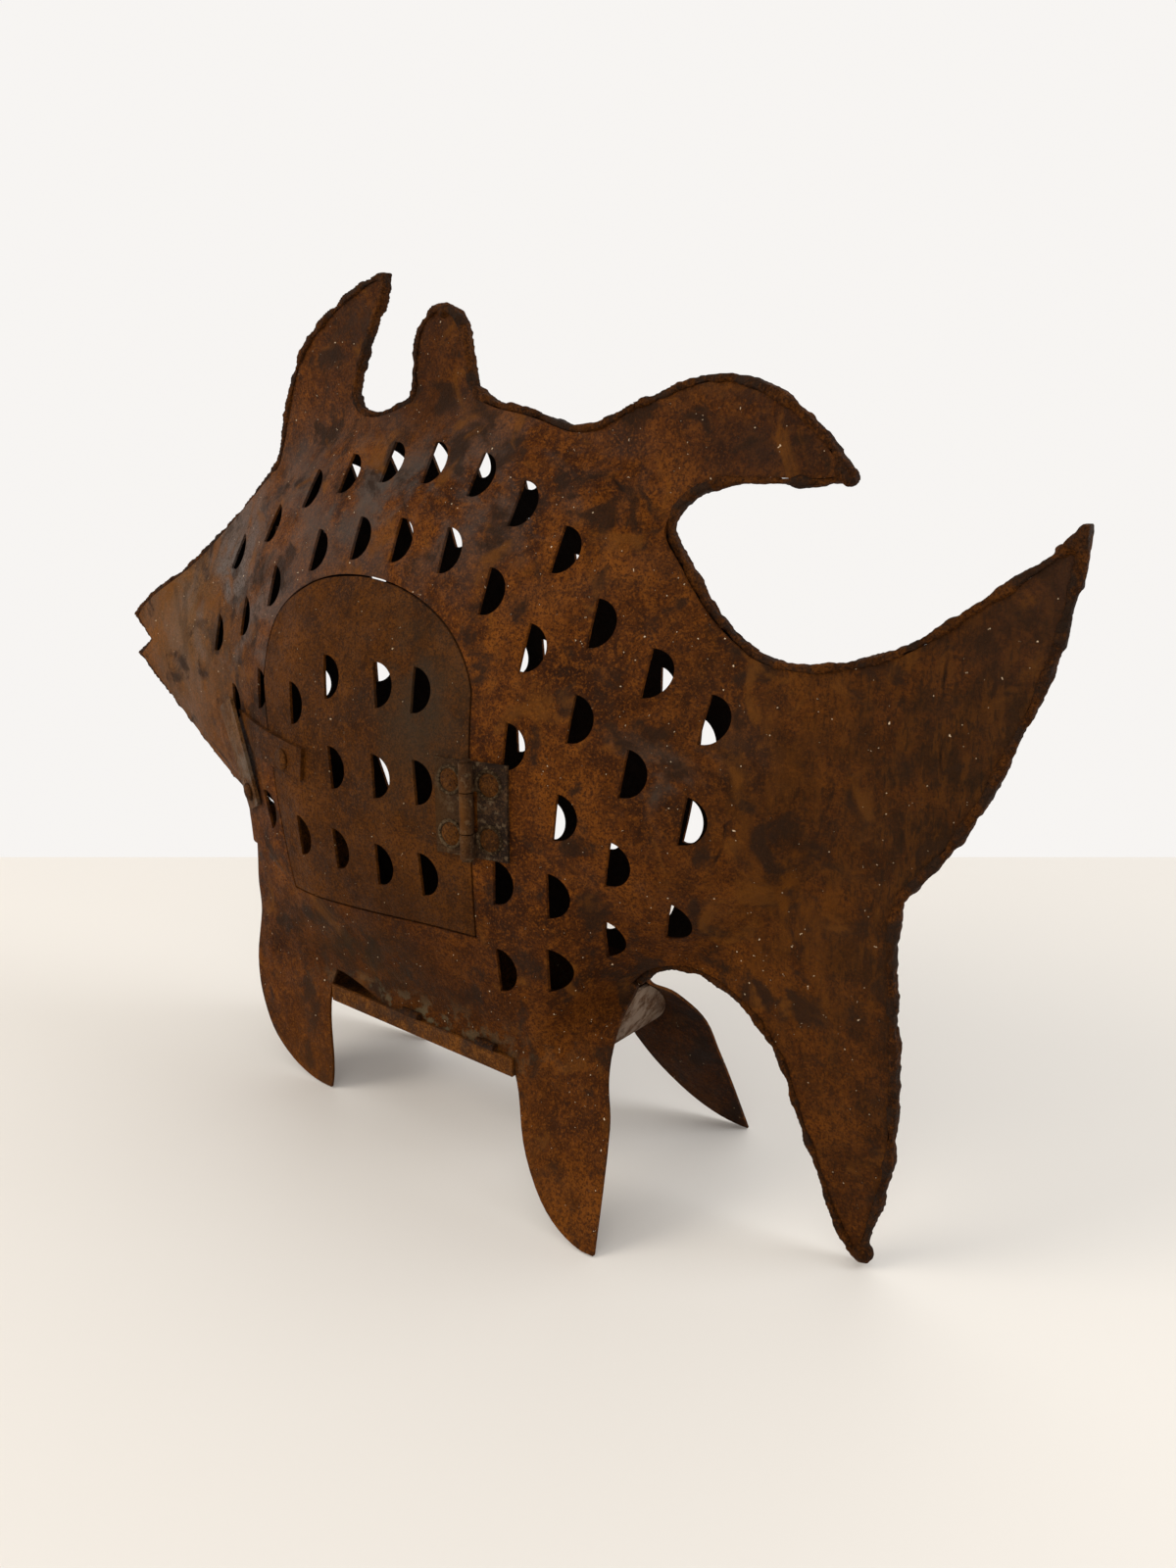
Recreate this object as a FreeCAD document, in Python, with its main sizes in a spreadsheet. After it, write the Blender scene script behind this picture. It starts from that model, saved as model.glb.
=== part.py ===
import FreeCAD, Part
import math
import os

import Sketcher

# Fish-shaped candle lantern of welded sheet iron.
# The snout points to -X and the tail to +X, the door is on the -Y side, and the
# feet stand on z = 0. The seam of the two side sheets lies in the plane y = 0.

doc = FreeCAD.newDocument("fish_lantern")
sheet = doc.addObject("Spreadsheet::Sheet", "sizes")

SIZES = (
    ("overall_length", 380.0, "snout to the tips of the tail fin"),
    ("overall_height", 280.0, "feet to the tip of the front fin"),
    ("body_half_width", 36.7, "seam plane to the fullest place of one side"),
    ("sheet_iron", 1.0, "thickness of the side sheets, door and tray"),
    ("seam_play", 0.25, "each side sheet stands this far off the seam plane"),
    ("bend_reach", 4.0, "how far a bend in the sheet is rounded to each side"),
    ("former_pitch", 6.0, "spacing of the places where the dished form is worked out"),
    ("belly_half_front", 24.0, "half width of the belly at the front of the tray"),
    ("belly_half_rear", 28.0, "half width of the belly at the rear of the tray"),
    ("front_foot_half_track", 24.0, "seam plane to a front foot"),
    ("rear_foot_half_track", 44.5, "seam plane to a rear foot"),
    ("tray_level", 36.5, "floor to the underside of the tray"),
    ("tray_front_place", -45.0, "front edge of the tray along the lantern"),
    ("tray_rear_place", 43.5, "rear edge of the tray along the lantern"),
    ("flange_rise", 6.0, "height of the tray flange over its underside"),
    ("belly_wall_rise", 10.0, "height of the upright belly wall over the tray"),
    ("weld_width", 1.6, "width of the weld bead along the rim"),
    ("weld_half_thickness", 1.5, "half thickness of the weld bead"),
    ("punch_chord", 14.2, "straight side of a punched hole"),
    ("punch_depth", 7.3, "chord to crown of a punched hole"),
    ("far_punch_forward", 2.7, "far side holes lie this much nearer the snout"),
    ("far_punch_up", 2.2, "far side holes lie this much higher"),
    ("door_gap", 0.7, "saw cut round the door"),
    ("seat_gap", 0.06, "play between parts that are riveted or welded flat"),
    ("free_gap", 0.35, "clearance between parts that move past each other"),
    ("hinge_height", 29.4, "length of the hinge knuckles together"),
    ("hinge_level", 120.8, "floor to the middle of the hinge"),
    ("hinge_top_knuckle", 8.8, "upper knuckle"),
    ("hinge_low_knuckle", 7.6, "lower knuckle"),
    ("hinge_behind_edge", 1.0, "door edge to the hinge pin"),
    ("leaf_width", 12.8, "pin centre to the outer edge of a hinge leaf"),
    ("leaf_sheet", 0.9, "thickness of the hinge leaves"),
    ("barrel_radius", 2.2, "outside of the hinge knuckles"),
    ("pin_radius", 1.1, "hinge pin"),
    ("pin_clearance", 0.05, "radial play of a pin or pivot"),
    ("pin_head_radius", 1.7, "spread ends of the hinge pin"),
    ("pin_head_rise", 0.6, "spread ends of the hinge pin"),
    ("knuckle_gap", 0.35, "play between hinge knuckles"),
    ("leaf_rivet_spread", 8.4, "middle of the hinge to a rivet, up or down"),
    ("leaf_rivet_reach", 7.0, "pin centre to a rivet"),
    ("rivet_head_radius", 3.7, "rivet heads on the hinge and tongue"),
    ("rivet_head_rise", 1.3, "height of a rivet head"),
    ("rivet_shank_radius", 1.5, "rivet shanks"),
    ("rivet_tail_radius", 2.6, "clenched rivet ends inside"),
    ("rivet_tail_rise", 0.8, "height of a clenched rivet end"),
    ("tongue_sheet", 1.2, "thickness of the door tongue"),
    ("tongue_standoff", 0.5, "door tongue clear of the side sheet"),
    ("tongue_set_length", 14.0, "length over which the tongue is set out past the door's edge"),
    ("strap_length", 34.0, "latch strap from pivot to end"),
    ("strap_heel", 6.0, "latch strap past its pivot"),
    ("strap_foot_width", 12.0, "latch strap at the pivot end"),
    ("strap_top_width", 16.0, "latch strap at the free end"),
    ("strap_corner", 1.8, "rounded corners of the latch strap"),
    ("strap_sheet", 1.2, "thickness of the latch strap"),
    ("strap_head_radius", 3.4, "head of the latch pivot"),
    ("strap_collar_radius", 2.5, "collar of the latch pivot under the strap"),
    ("cup_bore_radius", 20.5, "inside of the candle cup"),
    ("cup_place", -1.0, "middle of the candle cup along the lantern"),
    ("cup_wall", 0.8, "wall and floor of the candle cup"),
    ("cup_rise", 12.0, "height of the candle cup"),
    ("tack_radius", 1.3, "small weld beads"),
    ("tack_length", 8.0, "small weld beads"),
    ("tack_front_place", -3.0, "front weld bead of the tray along the lantern"),
    ("tack_rear_place", 32.0, "rear weld bead of the tray along the lantern"),
    ("cup_tack_rise", 2.4, "height of the weld beads at the candle cup"),
    ("cut_overrun", 5.0, "how far a cutter runs past the sheet"),
)

rows = []


def enter(alias, value, note):
    """One more line of the sheet, with the value as plain text."""
    rows.append(alias)
    sheet.set("A%d" % len(rows), note)
    sheet.set("B%d" % len(rows), repr(float(value)))
    sheet.setAlias("B%d" % len(rows), alias)


for alias, value, note in SIZES:
    enter(alias, value, note)
doc.recompute()


def size(alias):
    return float(sheet.get(alias))


LENGTH = size("overall_length")
HEIGHT = size("overall_height")
HALF_WIDTH = size("body_half_width")
SHEET = size("sheet_iron")
PLAY = size("seam_play")
BEND = size("bend_reach")
PITCH = size("former_pitch")
FOLD = size("tray_level")
WALL_TOP = FOLD + size("belly_wall_rise")
SEAT = size("seat_gap")
FREE = size("free_gap")
BELLY_FRONT = size("belly_half_front")
BELLY_REAR = size("belly_half_rear")
FRONT_FOOT = size("front_foot_half_track")
REAR_FOOT = size("rear_foot_half_track")
OVERRUN = size("cut_overrun")

# The dished form. Places along the fish are shares of its length from the snout,
# levels are shares of its height from the floor.
width_shares = (
    (0.0, 0.0), (0.097, 0.204), (0.176, 0.381), (0.255, 0.613), (0.334, 0.872), (0.4, 0.989),
    (0.466, 1.0), (0.532, 0.94), (0.597, 0.853), (0.663, 0.73), (0.729, 0.559), (0.782, 0.354),
    (0.821, 0.177), (0.85, 0.0), (0.9, -0.3),
)
widest_shares = (
    (0.0, 0.554), (0.097, 0.518), (0.255, 0.489), (0.361, 0.464), (0.466, 0.443),
    (0.571, 0.434), (0.676, 0.434), (0.782, 0.439), (0.85, 0.45),
)
crest_shares = (
    (0.0, 0.575), (0.032, 0.613), (0.071, 0.637), (0.121, 0.668), (0.179, 0.716), (0.242, 0.773),
    (0.308, 0.811), (0.387, 0.846), (0.453, 0.857), (0.537, 0.854), (0.624, 0.818), (0.676, 0.771),
    (0.711, 0.725), (0.737, 0.664), (0.782, 0.607), (0.813, 0.561), (0.837, 0.51), (0.85, 0.465),
)
keel_shares = (
    (0.0, 0.535), (0.05, 0.475), (0.097, 0.425), (0.15, 0.371), (0.197, 0.329), (0.229, 0.293),
    (0.255, 0.236), (0.282, 0.143), (0.645, 0.071), (0.666, 0.136), (0.682, 0.2), (0.689, 0.232),
    (0.729, 0.271), (0.782, 0.321), (0.821, 0.382), (0.85, 0.435),
)
DISH_POWER = 2.3
throat_start_share = 0.213
throat_end_share = 0.276
rump_start_share = 0.629
rump_end_share = 0.675
front_foot_share = 0.38
rear_foot_share = 0.63
rear_leg_end_share = 0.75
tail_start_share = 0.795
rump_seam_share = 0.235
throat_seam_share = 0.33
least_reach_share = 0.01


def along(table, place):
    """Smooth curve through a table of (place, value), with no overshoot."""
    if place <= table[0][0]:
        return table[0][1]
    if place >= table[-1][0]:
        return table[-1][1]
    span = 0
    while place > table[span + 1][0]:
        span += 1

    def rise(k):
        return (table[k + 1][1] - table[k][1]) / (table[k + 1][0] - table[k][0])

    def slope(k):
        if k == 0:
            return rise(0)
        if k == len(table) - 1:
            return rise(k - 1)
        before = rise(k - 1)
        after = rise(k)
        if before * after <= 0:
            return 0.0
        return 2 * before * after / (before + after)

    width = table[span + 1][0] - table[span][0]
    step = (place - table[span][0]) / width
    start = (1 + 2 * step) * (1 - step) ** 2 * table[span][1]
    start_slope = step * (1 - step) ** 2 * width * slope(span)
    end = step ** 2 * (3 - 2 * step) * table[span + 1][1]
    end_slope = step ** 2 * (step - 1) * width * slope(span + 1)
    return start + start_slope + end + end_slope


def ease(place, start, end):
    """0 before start, 1 after end, and an even turn between them."""
    step = min(max((place - start) / (end - start), 0.0), 1.0)
    return step * step * (3 - 2 * step)


def rounded_max(first, second, reach):
    """The larger of two values, with the corner between them rounded."""
    near = max(reach - abs(first - second), 0.0)
    return max(first, second) + near * near / (4 * reach)


def belly_half(run):
    """Half width of the upright belly wall, which widens towards the rear."""
    along_belly = (run - front_foot_share) / (rear_foot_share - front_foot_share)
    return BELLY_FRONT + (BELLY_REAR - BELLY_FRONT) * along_belly


def side(x, z):
    """Distance of the outer face of a side sheet from the seam plane."""
    run = x / LENGTH + 0.5
    rise = z / HEIGHT
    level = along(widest_shares, run)
    fullest = HALF_WIDTH * along(width_shares, run) - SHEET
    if rise >= level:
        span = along(crest_shares, run) - level
    else:
        span = level - along(keel_shares, run)
    away = abs(rise - level) / max(span, least_reach_share)
    seamed = fullest
    if fullest > 0:
        seamed = fullest * (1 - away ** DISH_POWER)

    base = belly_half(run) - SHEET
    body = seamed
    if rise < level:
        drop = min((level * HEIGHT - z) / (level * HEIGHT - WALL_TOP), 1.0)
        belly = fullest - (fullest - min(base, fullest)) * drop ** DISH_POWER
        belly_part = ease(run, throat_start_share, throat_end_share)
        belly_part *= 1 - ease(run, rump_start_share, rump_end_share)
        body = belly_part * belly + (1 - belly_part) * seamed

    front_foot = FRONT_FOOT - SHEET
    rear_foot = REAR_FOOT - SHEET
    foot = front_foot + (rear_foot - front_foot) * ease(run, front_foot_share, rear_foot_share)
    under = rounded_max(FOLD - z, 0.0, BEND) / FOLD
    seam_end = HEIGHT * (throat_seam_share + (rump_seam_share - throat_seam_share)
                         * ease(run, front_foot_share, rear_foot_share))
    over = max(z - FOLD, 0.0) / (seam_end - FOLD)
    leg = base * (1 - over * over) + (foot - base) * under
    past_leg = ease(run, rear_leg_end_share, tail_start_share)
    leg = leg * (1 - past_leg) - base * past_leg
    return SHEET + rounded_max(rounded_max(body, leg, BEND), 0.0, BEND)


def tilt(x, z):
    """How fast the side moves out along the length and up the height."""
    step = PITCH / 4
    length_slope = (side(x + step, z) - side(x - step, z)) / (2 * step)
    height_slope = (side(x, z + step) - side(x, z - step)) / (2 * step)
    return length_slope, height_slope


def face_stretch(x, z):
    """Length of the side's true normal against its reach across the lantern."""
    length_slope, height_slope = tilt(x, z)
    return math.sqrt(1 + length_slope ** 2 + height_slope ** 2)


def dished_slab(low_x, high_x, low_z, high_z, outer, inner, pitch, lift=None):
    """Solid between two dished faces on the -Y side. They lie outer and inner away
    from the outer face of the sheet, less than zero below it, and lift(x) adds to both."""
    columns = max(int(math.ceil((high_x - low_x) / pitch)), 4)
    levels = max(int(math.ceil((high_z - low_z) / pitch)), 4)
    faces = []
    for raised in (outer, inner):
        grid = []
        for column in range(columns + 1):
            x = low_x + (high_x - low_x) * column / columns
            extra = lift(x) if lift else 0.0
            line = []
            for level in range(levels + 1):
                z = low_z + (high_z - low_z) * level / levels
                reach = side(x, z) + (raised + extra) * face_stretch(x, z)
                line.append(FreeCAD.Vector(x, -rounded_max(reach, PLAY, PLAY), z))
            grid.append(line)
        surface = Part.BSplineSurface()
        surface.interpolate(grid)
        faces.append(surface.toShape())
    walls = [Part.makeRuledSurface(a, b) for a, b in zip(faces[0].Edges, faces[1].Edges)]
    shell = Part.makeShell(faces + walls)
    shell.sewShape()
    solid = Part.makeSolid(shell)
    if solid.Volume < 0:
        solid.reverse()
    return solid


# The rim, stretch by stretch, clockwise from the upper lip, seen from the -Y side.
brow_shares = ((0.0, 0.582), (0.032, 0.613), (0.071, 0.638), (0.121, 0.669), (0.179, 0.716),
               (0.242, 0.773), (0.264, 0.796))
horn_front_shares = ((0.264, 0.796), (0.283, 0.864), (0.304, 0.92), (0.355, 0.971),
                     (0.389, 0.991), (0.42, 1.0))
horn_back_shares = ((0.42, 1.0), (0.418, 0.982), (0.403, 0.946), (0.391, 0.914),
                    (0.38, 0.886), (0.382, 0.857))
crown_shares = ((0.382, 0.857), (0.403, 0.85), (0.426, 0.854), (0.446, 0.863))
crest_fin_shares = ((0.446, 0.863), (0.45, 0.896), (0.455, 0.929), (0.468, 0.95),
                    (0.487, 0.957), (0.503, 0.945), (0.513, 0.914), (0.518, 0.871))
back_shares = ((0.518, 0.871), (0.537, 0.855), (0.571, 0.844), (0.6, 0.832), (0.624, 0.823),
               (0.65, 0.829), (0.676, 0.843))
rear_fin_top_shares = ((0.676, 0.843), (0.708, 0.855), (0.745, 0.864), (0.779, 0.855),
                       (0.803, 0.837), (0.829, 0.807), (0.852, 0.768))
rear_fin_low_shares = ((0.852, 0.768), (0.829, 0.763), (0.795, 0.764), (0.755, 0.764),
                       (0.729, 0.754), (0.711, 0.725), (0.721, 0.698), (0.738, 0.662),
                       (0.755, 0.637), (0.782, 0.609))
tail_top_shares = ((0.782, 0.609), (0.816, 0.599), (0.85, 0.605), (0.887, 0.62),
                   (0.918, 0.646), (0.953, 0.68), (0.979, 0.707), (1.0, 0.732))
tail_back_high_shares = ((1.0, 0.732), (0.997, 0.691), (0.992, 0.65), (0.982, 0.595),
                         (0.967, 0.541), (0.953, 0.495), (0.933, 0.446), (0.904, 0.396))
tail_back_low_shares = ((0.904, 0.396), (0.899, 0.35), (0.901, 0.3), (0.906, 0.236),
                        (0.908, 0.171), (0.906, 0.107), (0.897, 0.046), (0.889, 0.0012))
tail_front_shares = ((0.889, 0.0012), (0.862, 0.049), (0.85, 0.086), (0.837, 0.123),
                     (0.826, 0.161), (0.813, 0.198), (0.792, 0.23), (0.763, 0.254),
                     (0.729, 0.262), (0.708, 0.255), (0.688, 0.232))
rear_leg_back_shares = ((0.688, 0.232), (0.699, 0.179), (0.709, 0.143), (0.716, 0.1),
                        (0.721, 0.054), (0.726, 0.0))
rear_foot_shares = ((0.726, 0.0), (0.716, 0.0))
rear_leg_front_shares = ((0.716, 0.0), (0.692, 0.008), (0.674, 0.021), (0.655, 0.043),
                         (0.638, 0.071), (0.625, 0.104), (0.614, 0.136))
belly_shares = ((0.614, 0.136), (0.55, 0.1365), (0.492, 0.138), (0.453, 0.15), (0.421, 0.164),
                (0.387, 0.173))
front_leg_back_shares = ((0.387, 0.173), (0.375, 0.136), (0.371, 0.086), (0.372, 0.036),
                         (0.368, 0.0))
front_foot_shares = ((0.368, 0.0), (0.358, 0.0))
front_leg_front_shares = ((0.358, 0.0), (0.316, 0.013), (0.282, 0.046), (0.259, 0.1),
                          (0.258, 0.175), (0.268, 0.25), (0.276, 0.311))
throat_shares = ((0.276, 0.311), (0.242, 0.314), (0.211, 0.325))
chin_shares = ((0.211, 0.325), (0.176, 0.352), (0.142, 0.382), (0.097, 0.427), (0.05, 0.475),
               (0.0, 0.525))
mouth_low_shares = ((0.0, 0.525), (0.028, 0.549))
mouth_high_shares = ((0.028, 0.549), (0.0, 0.582))

# Each stretch with its outline and whether the rim is welded there.
RIM = (
    ("brow", brow_shares, True),
    ("horn front", horn_front_shares, True),
    ("horn back", horn_back_shares, True),
    ("crown", crown_shares, True),
    ("crest fin", crest_fin_shares, True),
    ("back", back_shares, True),
    ("rear fin top", rear_fin_top_shares, True),
    ("rear fin low", rear_fin_low_shares, True),
    ("tail top", tail_top_shares, True),
    ("tail back high", tail_back_high_shares, True),
    ("tail back low", tail_back_low_shares, True),
    ("tail front", tail_front_shares, True),
    ("rear leg back", rear_leg_back_shares, False),
    ("rear foot", rear_foot_shares, False),
    ("rear leg front", rear_leg_front_shares, False),
    ("belly", belly_shares, False),
    ("front leg back", front_leg_back_shares, False),
    ("front foot", front_foot_shares, False),
    ("front leg front", front_leg_front_shares, False),
    ("throat", throat_shares, False),
    ("chin", chin_shares, True),
    ("mouth low", mouth_low_shares, True),
    ("mouth high", mouth_high_shares, True),
)
CURVE_STEPS = 60
CURVE_KNOTS = 12


def placed(table):
    """Points in the seam plane from shares of length and height."""
    return [FreeCAD.Vector((run - 0.5) * LENGTH, 0, rise * HEIGHT) for run, rise in table]


def bent(points):
    """One smooth edge through the points, or a straight one through two."""
    if len(points) == 2:
        return Part.makeLine(points[0], points[1])
    spline = Part.BSplineCurve()
    spline.interpolate(points)
    return spline.toShape()


def crossing(first, second):
    """Where two runs of points cross nearest to the corner between them."""
    best = None
    for i in range(len(first) - 1, 0, -1):
        a = first[i]
        b = first[i - 1]
        for k in range(len(second) - 1):
            c = second[k]
            d = second[k + 1]
            if best and (len(first) - 1 - i) + k >= best[0]:
                break
            turn = (b.x - a.x) * (d.z - c.z) - (b.z - a.z) * (d.x - c.x)
            if turn == 0:
                continue
            along_first = ((c.x - a.x) * (d.z - c.z) - (c.z - a.z) * (d.x - c.x)) / turn
            along_second = ((c.x - a.x) * (b.z - a.z) - (c.z - a.z) * (b.x - a.x)) / turn
            if 0 <= along_first <= 1 and 0 <= along_second <= 1:
                best = ((len(first) - 1 - i) + k, i, k, a + (b - a) * along_first)
    return best


def moved_rim(tables, widths):
    """The closed outline with every stretch moved inward by its own width, as one list
    of points per stretch. Less than zero moves it outward."""
    runs = []
    for table, width in zip(tables, widths):
        line = bent(placed(table)).discretize(CURVE_STEPS)
        moved = []
        for k, point in enumerate(line):
            ahead = line[min(k + 1, len(line) - 1)] - line[max(k - 1, 0)]
            ahead.normalize()
            moved.append(point + FreeCAD.Vector(ahead.z, 0, -ahead.x) * width)
        runs.append(moved)
    for i in range(len(runs)):
        k = (i + 1) % len(runs)
        if widths[i] == 0 or widths[k] == 0:
            continue
        reach = 4 * max(abs(widths[i]), abs(widths[k]))
        out = runs[i][-1] - runs[i][-2]
        back = runs[k][0] - runs[k][1]
        first = runs[i] + [runs[i][-1] + out.normalize() * reach]
        second = [runs[k][0] + back.normalize() * reach] + runs[k]
        met = crossing(first, second)
        if met:
            runs[i] = first[:met[1]] + [met[3]]
            runs[k] = [met[3]] + second[met[2] + 1:]
        else:
            middle = (runs[i][-1] + runs[k][0]) * 0.5
            runs[i] = runs[i][:-1] + [middle]
            runs[k] = [middle] + runs[k][1:]
    return runs


def thinned(run):
    """A few points of a run, evenly spaced, with both ends kept."""
    if len(run) <= 2:
        return run
    lengths = [0.0]
    for a, b in zip(run, run[1:]):
        lengths.append(lengths[-1] + a.distanceToPoint(b))
    picked = []
    for knot in range(CURVE_KNOTS + 1):
        want = lengths[-1] * knot / CURVE_KNOTS
        k = 0
        while k < len(run) - 2 and lengths[k + 1] < want:
            k += 1
        step = (want - lengths[k]) / max(lengths[k + 1] - lengths[k], lengths[-1] / CURVE_STEPS / 1000)
        picked.append(run[k] + (run[k + 1] - run[k]) * min(max(step, 0.0), 1.0))
    picked[0] = run[0]
    picked[-1] = run[-1]
    return picked


def straight(table):
    return len(table) == 2


def closed_face(edges):
    return Part.Face(Part.Wire(edges))


def joined(a, b):
    """A straight edge, or nothing where the two points are one."""
    if a.distanceToPoint(b) < SEAT / 100:
        return []
    return [Part.makeLine(a, b)]


def rim_face(tables, widths):
    """Face inside the moved outline, with a step where the width changes."""
    runs = moved_rim(tables, widths)
    edges = []
    for i, (table, run) in enumerate(zip(tables, runs)):
        ahead = runs[(i + 1) % len(runs)]
        points = [run[0], run[-1]] if straight(table) else thinned(run)
        if widths[i] == 0 and not straight(table):
            points = placed(table)
        edges.append(bent(points))
        edges += joined(points[-1], ahead[0])
    return closed_face(edges)


def across(face, start, depth):
    """Prism through the -Y side from y = start."""
    prism = face.copy()
    prism.translate(FreeCAD.Vector(0, start, 0))
    return prism.extrude(FreeCAD.Vector(0, -depth, 0))


ACROSS = HALF_WIDTH + REAR_FOOT + OVERRUN
rim_tables = [table for name, table, welded in RIM]
bead = size("weld_width")
bead_widths = [bead if welded else 0.0 for name, table, welded in RIM]
sheet_widths = [bead + SEAT if welded else 0.0 for name, table, welded in RIM]

form = dished_slab(-LENGTH / 2 - PITCH, LENGTH / 2 + PITCH, -PITCH, HEIGHT + PITCH, 0.0, -SHEET,
                   PITCH)
rim_prism = across(rim_face(rim_tables, sheet_widths), OVERRUN, ACROSS + OVERRUN)
near_blank = form.common(rim_prism)

# The door, clockwise from its lower corner at the head end.
door_left_shares = ((0.3513, 0.2785), (0.339, 0.4), (0.3255, 0.538))
door_arch_shares = ((0.3255, 0.538), (0.3305, 0.5715), (0.3391, 0.6038), (0.3517, 0.6257),
                    (0.3663, 0.6394), (0.3829, 0.6506), (0.3991, 0.6594), (0.4186, 0.6648),
                    (0.438, 0.6669), (0.4571, 0.6668), (0.477, 0.6636), (0.4971, 0.6574),
                    (0.5136, 0.649), (0.5287, 0.6397), (0.5431, 0.6275), (0.5562, 0.6123),
                    (0.5663, 0.595), (0.5743, 0.5756), (0.579, 0.556))
door_right_shares = ((0.579, 0.556), (0.579, 0.2857))
door_bottom_shares = ((0.579, 0.2857), (0.53, 0.2862), (0.48, 0.284), (0.42, 0.2795),
                      (0.3513, 0.2785))
door_tables = (door_left_shares, door_arch_shares, door_right_shares, door_bottom_shares)
gap = size("door_gap")
door_prism = across(rim_face(door_tables, [0.0] * len(door_tables)), 0.0, ACROSS)
doorway_prism = across(rim_face(door_tables, [-gap] * len(door_tables)), 0.0, ACROSS)

# Punched holes: the middle of the straight side, as shares of length and height, and
# its lean in degrees. The rounded side faces the tail.
body_punch_shares = (
    (0.2293, 0.6862, -24), (0.2929, 0.7229, -18), (0.3473, 0.7639, -9), (0.3965, 0.7801, -2),
    (0.4465, 0.7915, -2), (0.4942, 0.7898, -2), (0.5466, 0.7764, -8), (0.5911, 0.7467, -8),
    (0.6348, 0.7018, -6), (0.6727, 0.6316, -3), (0.7172, 0.5863, -4), (0.7599, 0.5448, -6),
    (0.2013, 0.5791, -15), (0.266, 0.6073, -9), (0.323, 0.649, -4), (0.3849, 0.6938, -2),
    (0.4357, 0.7084, -2), (0.4825, 0.7075, -2), (0.5338, 0.6982, -2), (0.5802, 0.6586, -6),
    (0.6221, 0.6048, -8), (0.6652, 0.5376, -8), (0.708, 0.4879, -9), (0.7514, 0.4456, -9),
    (0.2421, 0.493, 1), (0.3113, 0.5242, 0), (0.6108, 0.5031, -5), (0.655, 0.4352, -6),
    (0.6956, 0.3916, -11), (0.7328, 0.3317, -20),
    (0.2225, 0.402, 22), (0.5998, 0.3532, -2), (0.6472, 0.3483, 0), (0.6828, 0.3008, -8),
    (0.3141, 0.3699, 20), (0.6002, 0.2520, 3), (0.6452, 0.2632, 0),
)
door_punch_shares = (
    (0.3748, 0.5174, 4), (0.4221, 0.5542, 6), (0.4829, 0.5524, 7), (0.5222, 0.5515, -2),
    (0.428, 0.4503, 4), (0.481, 0.4503, 2), (0.5251, 0.4507, 4),
    (0.3742, 0.3546, 1), (0.4259, 0.3514, 1), (0.4788, 0.3461, -1), (0.5266, 0.3454, 3),
)


def punch(run, rise, lean, forward, up):
    """Cutter for one punched hole, flattened as the sheet slopes away there."""
    x = (run - 0.5) * LENGTH - forward
    z = rise * HEIGHT + up
    g, k = tilt(x, z)
    dx = math.sin(math.radians(lean))
    dz = -math.cos(math.radians(lean))
    half = size("punch_chord") / 2 / math.sqrt(1 + (g * dx + k * dz) ** 2)
    px = -(dx * g * k + dz * (1 + k * k))
    pz = dx * (1 + g * g) + dz * g * k
    long = math.sqrt(px * px * (1 + g * g) + 2 * px * pz * g * k + pz * pz * (1 + k * k))
    depth = size("punch_depth") / long
    middle = FreeCAD.Vector(x, 0, z)
    top = middle - FreeCAD.Vector(dx, 0, dz) * half
    low = middle + FreeCAD.Vector(dx, 0, dz) * half
    crown = middle + FreeCAD.Vector(px, 0, pz) * depth
    edges = [Part.Arc(top, crown, low).toShape(), Part.makeLine(low, top)]
    return across(closed_face(edges), 0.0, ACROSS)


body_punches = [punch(run, rise, lean, 0.0, 0.0) for run, rise, lean in body_punch_shares]
door_punches = [punch(run, rise, lean, 0.0, 0.0) for run, rise, lean in door_punch_shares]
far_forward = size("far_punch_forward")
far_up = size("far_punch_up")
far_punches = [punch(run, rise, lean, far_forward, far_up)
               for run, rise, lean in body_punch_shares + door_punch_shares]


def outward(x, z):
    """Unit normal of the near side, away from the lantern."""
    g, k = tilt(x, z)
    normal = FreeCAD.Vector(-g, -1, -k)
    return normal.normalize()


def on_side(x, z, raised):
    """Point at this distance off the near side's outer face."""
    return FreeCAD.Vector(x, -side(x, z), z) + outward(x, z) * raised


# Hinge: the knuckles stand clear of the door's edge.
pin_x = (door_right_shares[0][0] - 0.5) * LENGTH + size("hinge_behind_edge")
hinge_level = size("hinge_level")
barrel = size("barrel_radius")
pin_spot = on_side(pin_x, hinge_level, barrel + FREE)
hinge_low = hinge_level - size("hinge_height") / 2
hinge_top = hinge_level + size("hinge_height") / 2
enter("pin_x_place", pin_spot.x, "hinge pin along the lantern, worked out")
enter("pin_y_place", pin_spot.y, "hinge pin across the lantern, worked out")
enter("hinge_low_level", hinge_low, "lower end of the hinge, worked out")

leaf_reach = size("leaf_rivet_reach")
leaf_spread = size("leaf_rivet_spread")
shank = size("rivet_shank_radius")
body_rivet_spots = [(pin_spot.x + leaf_reach, hinge_level + s * leaf_spread) for s in (1, -1)]
door_rivet_spots = [(pin_spot.x - leaf_reach, hinge_level + s * leaf_spread) for s in (1, -1)]


def rivet_hole(x, z, radius):
    """Cutter for a round hole square to the near side."""
    start = on_side(x, z, -OVERRUN)
    return Part.makeCylinder(radius, 2 * OVERRUN, start, outward(x, z))


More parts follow.
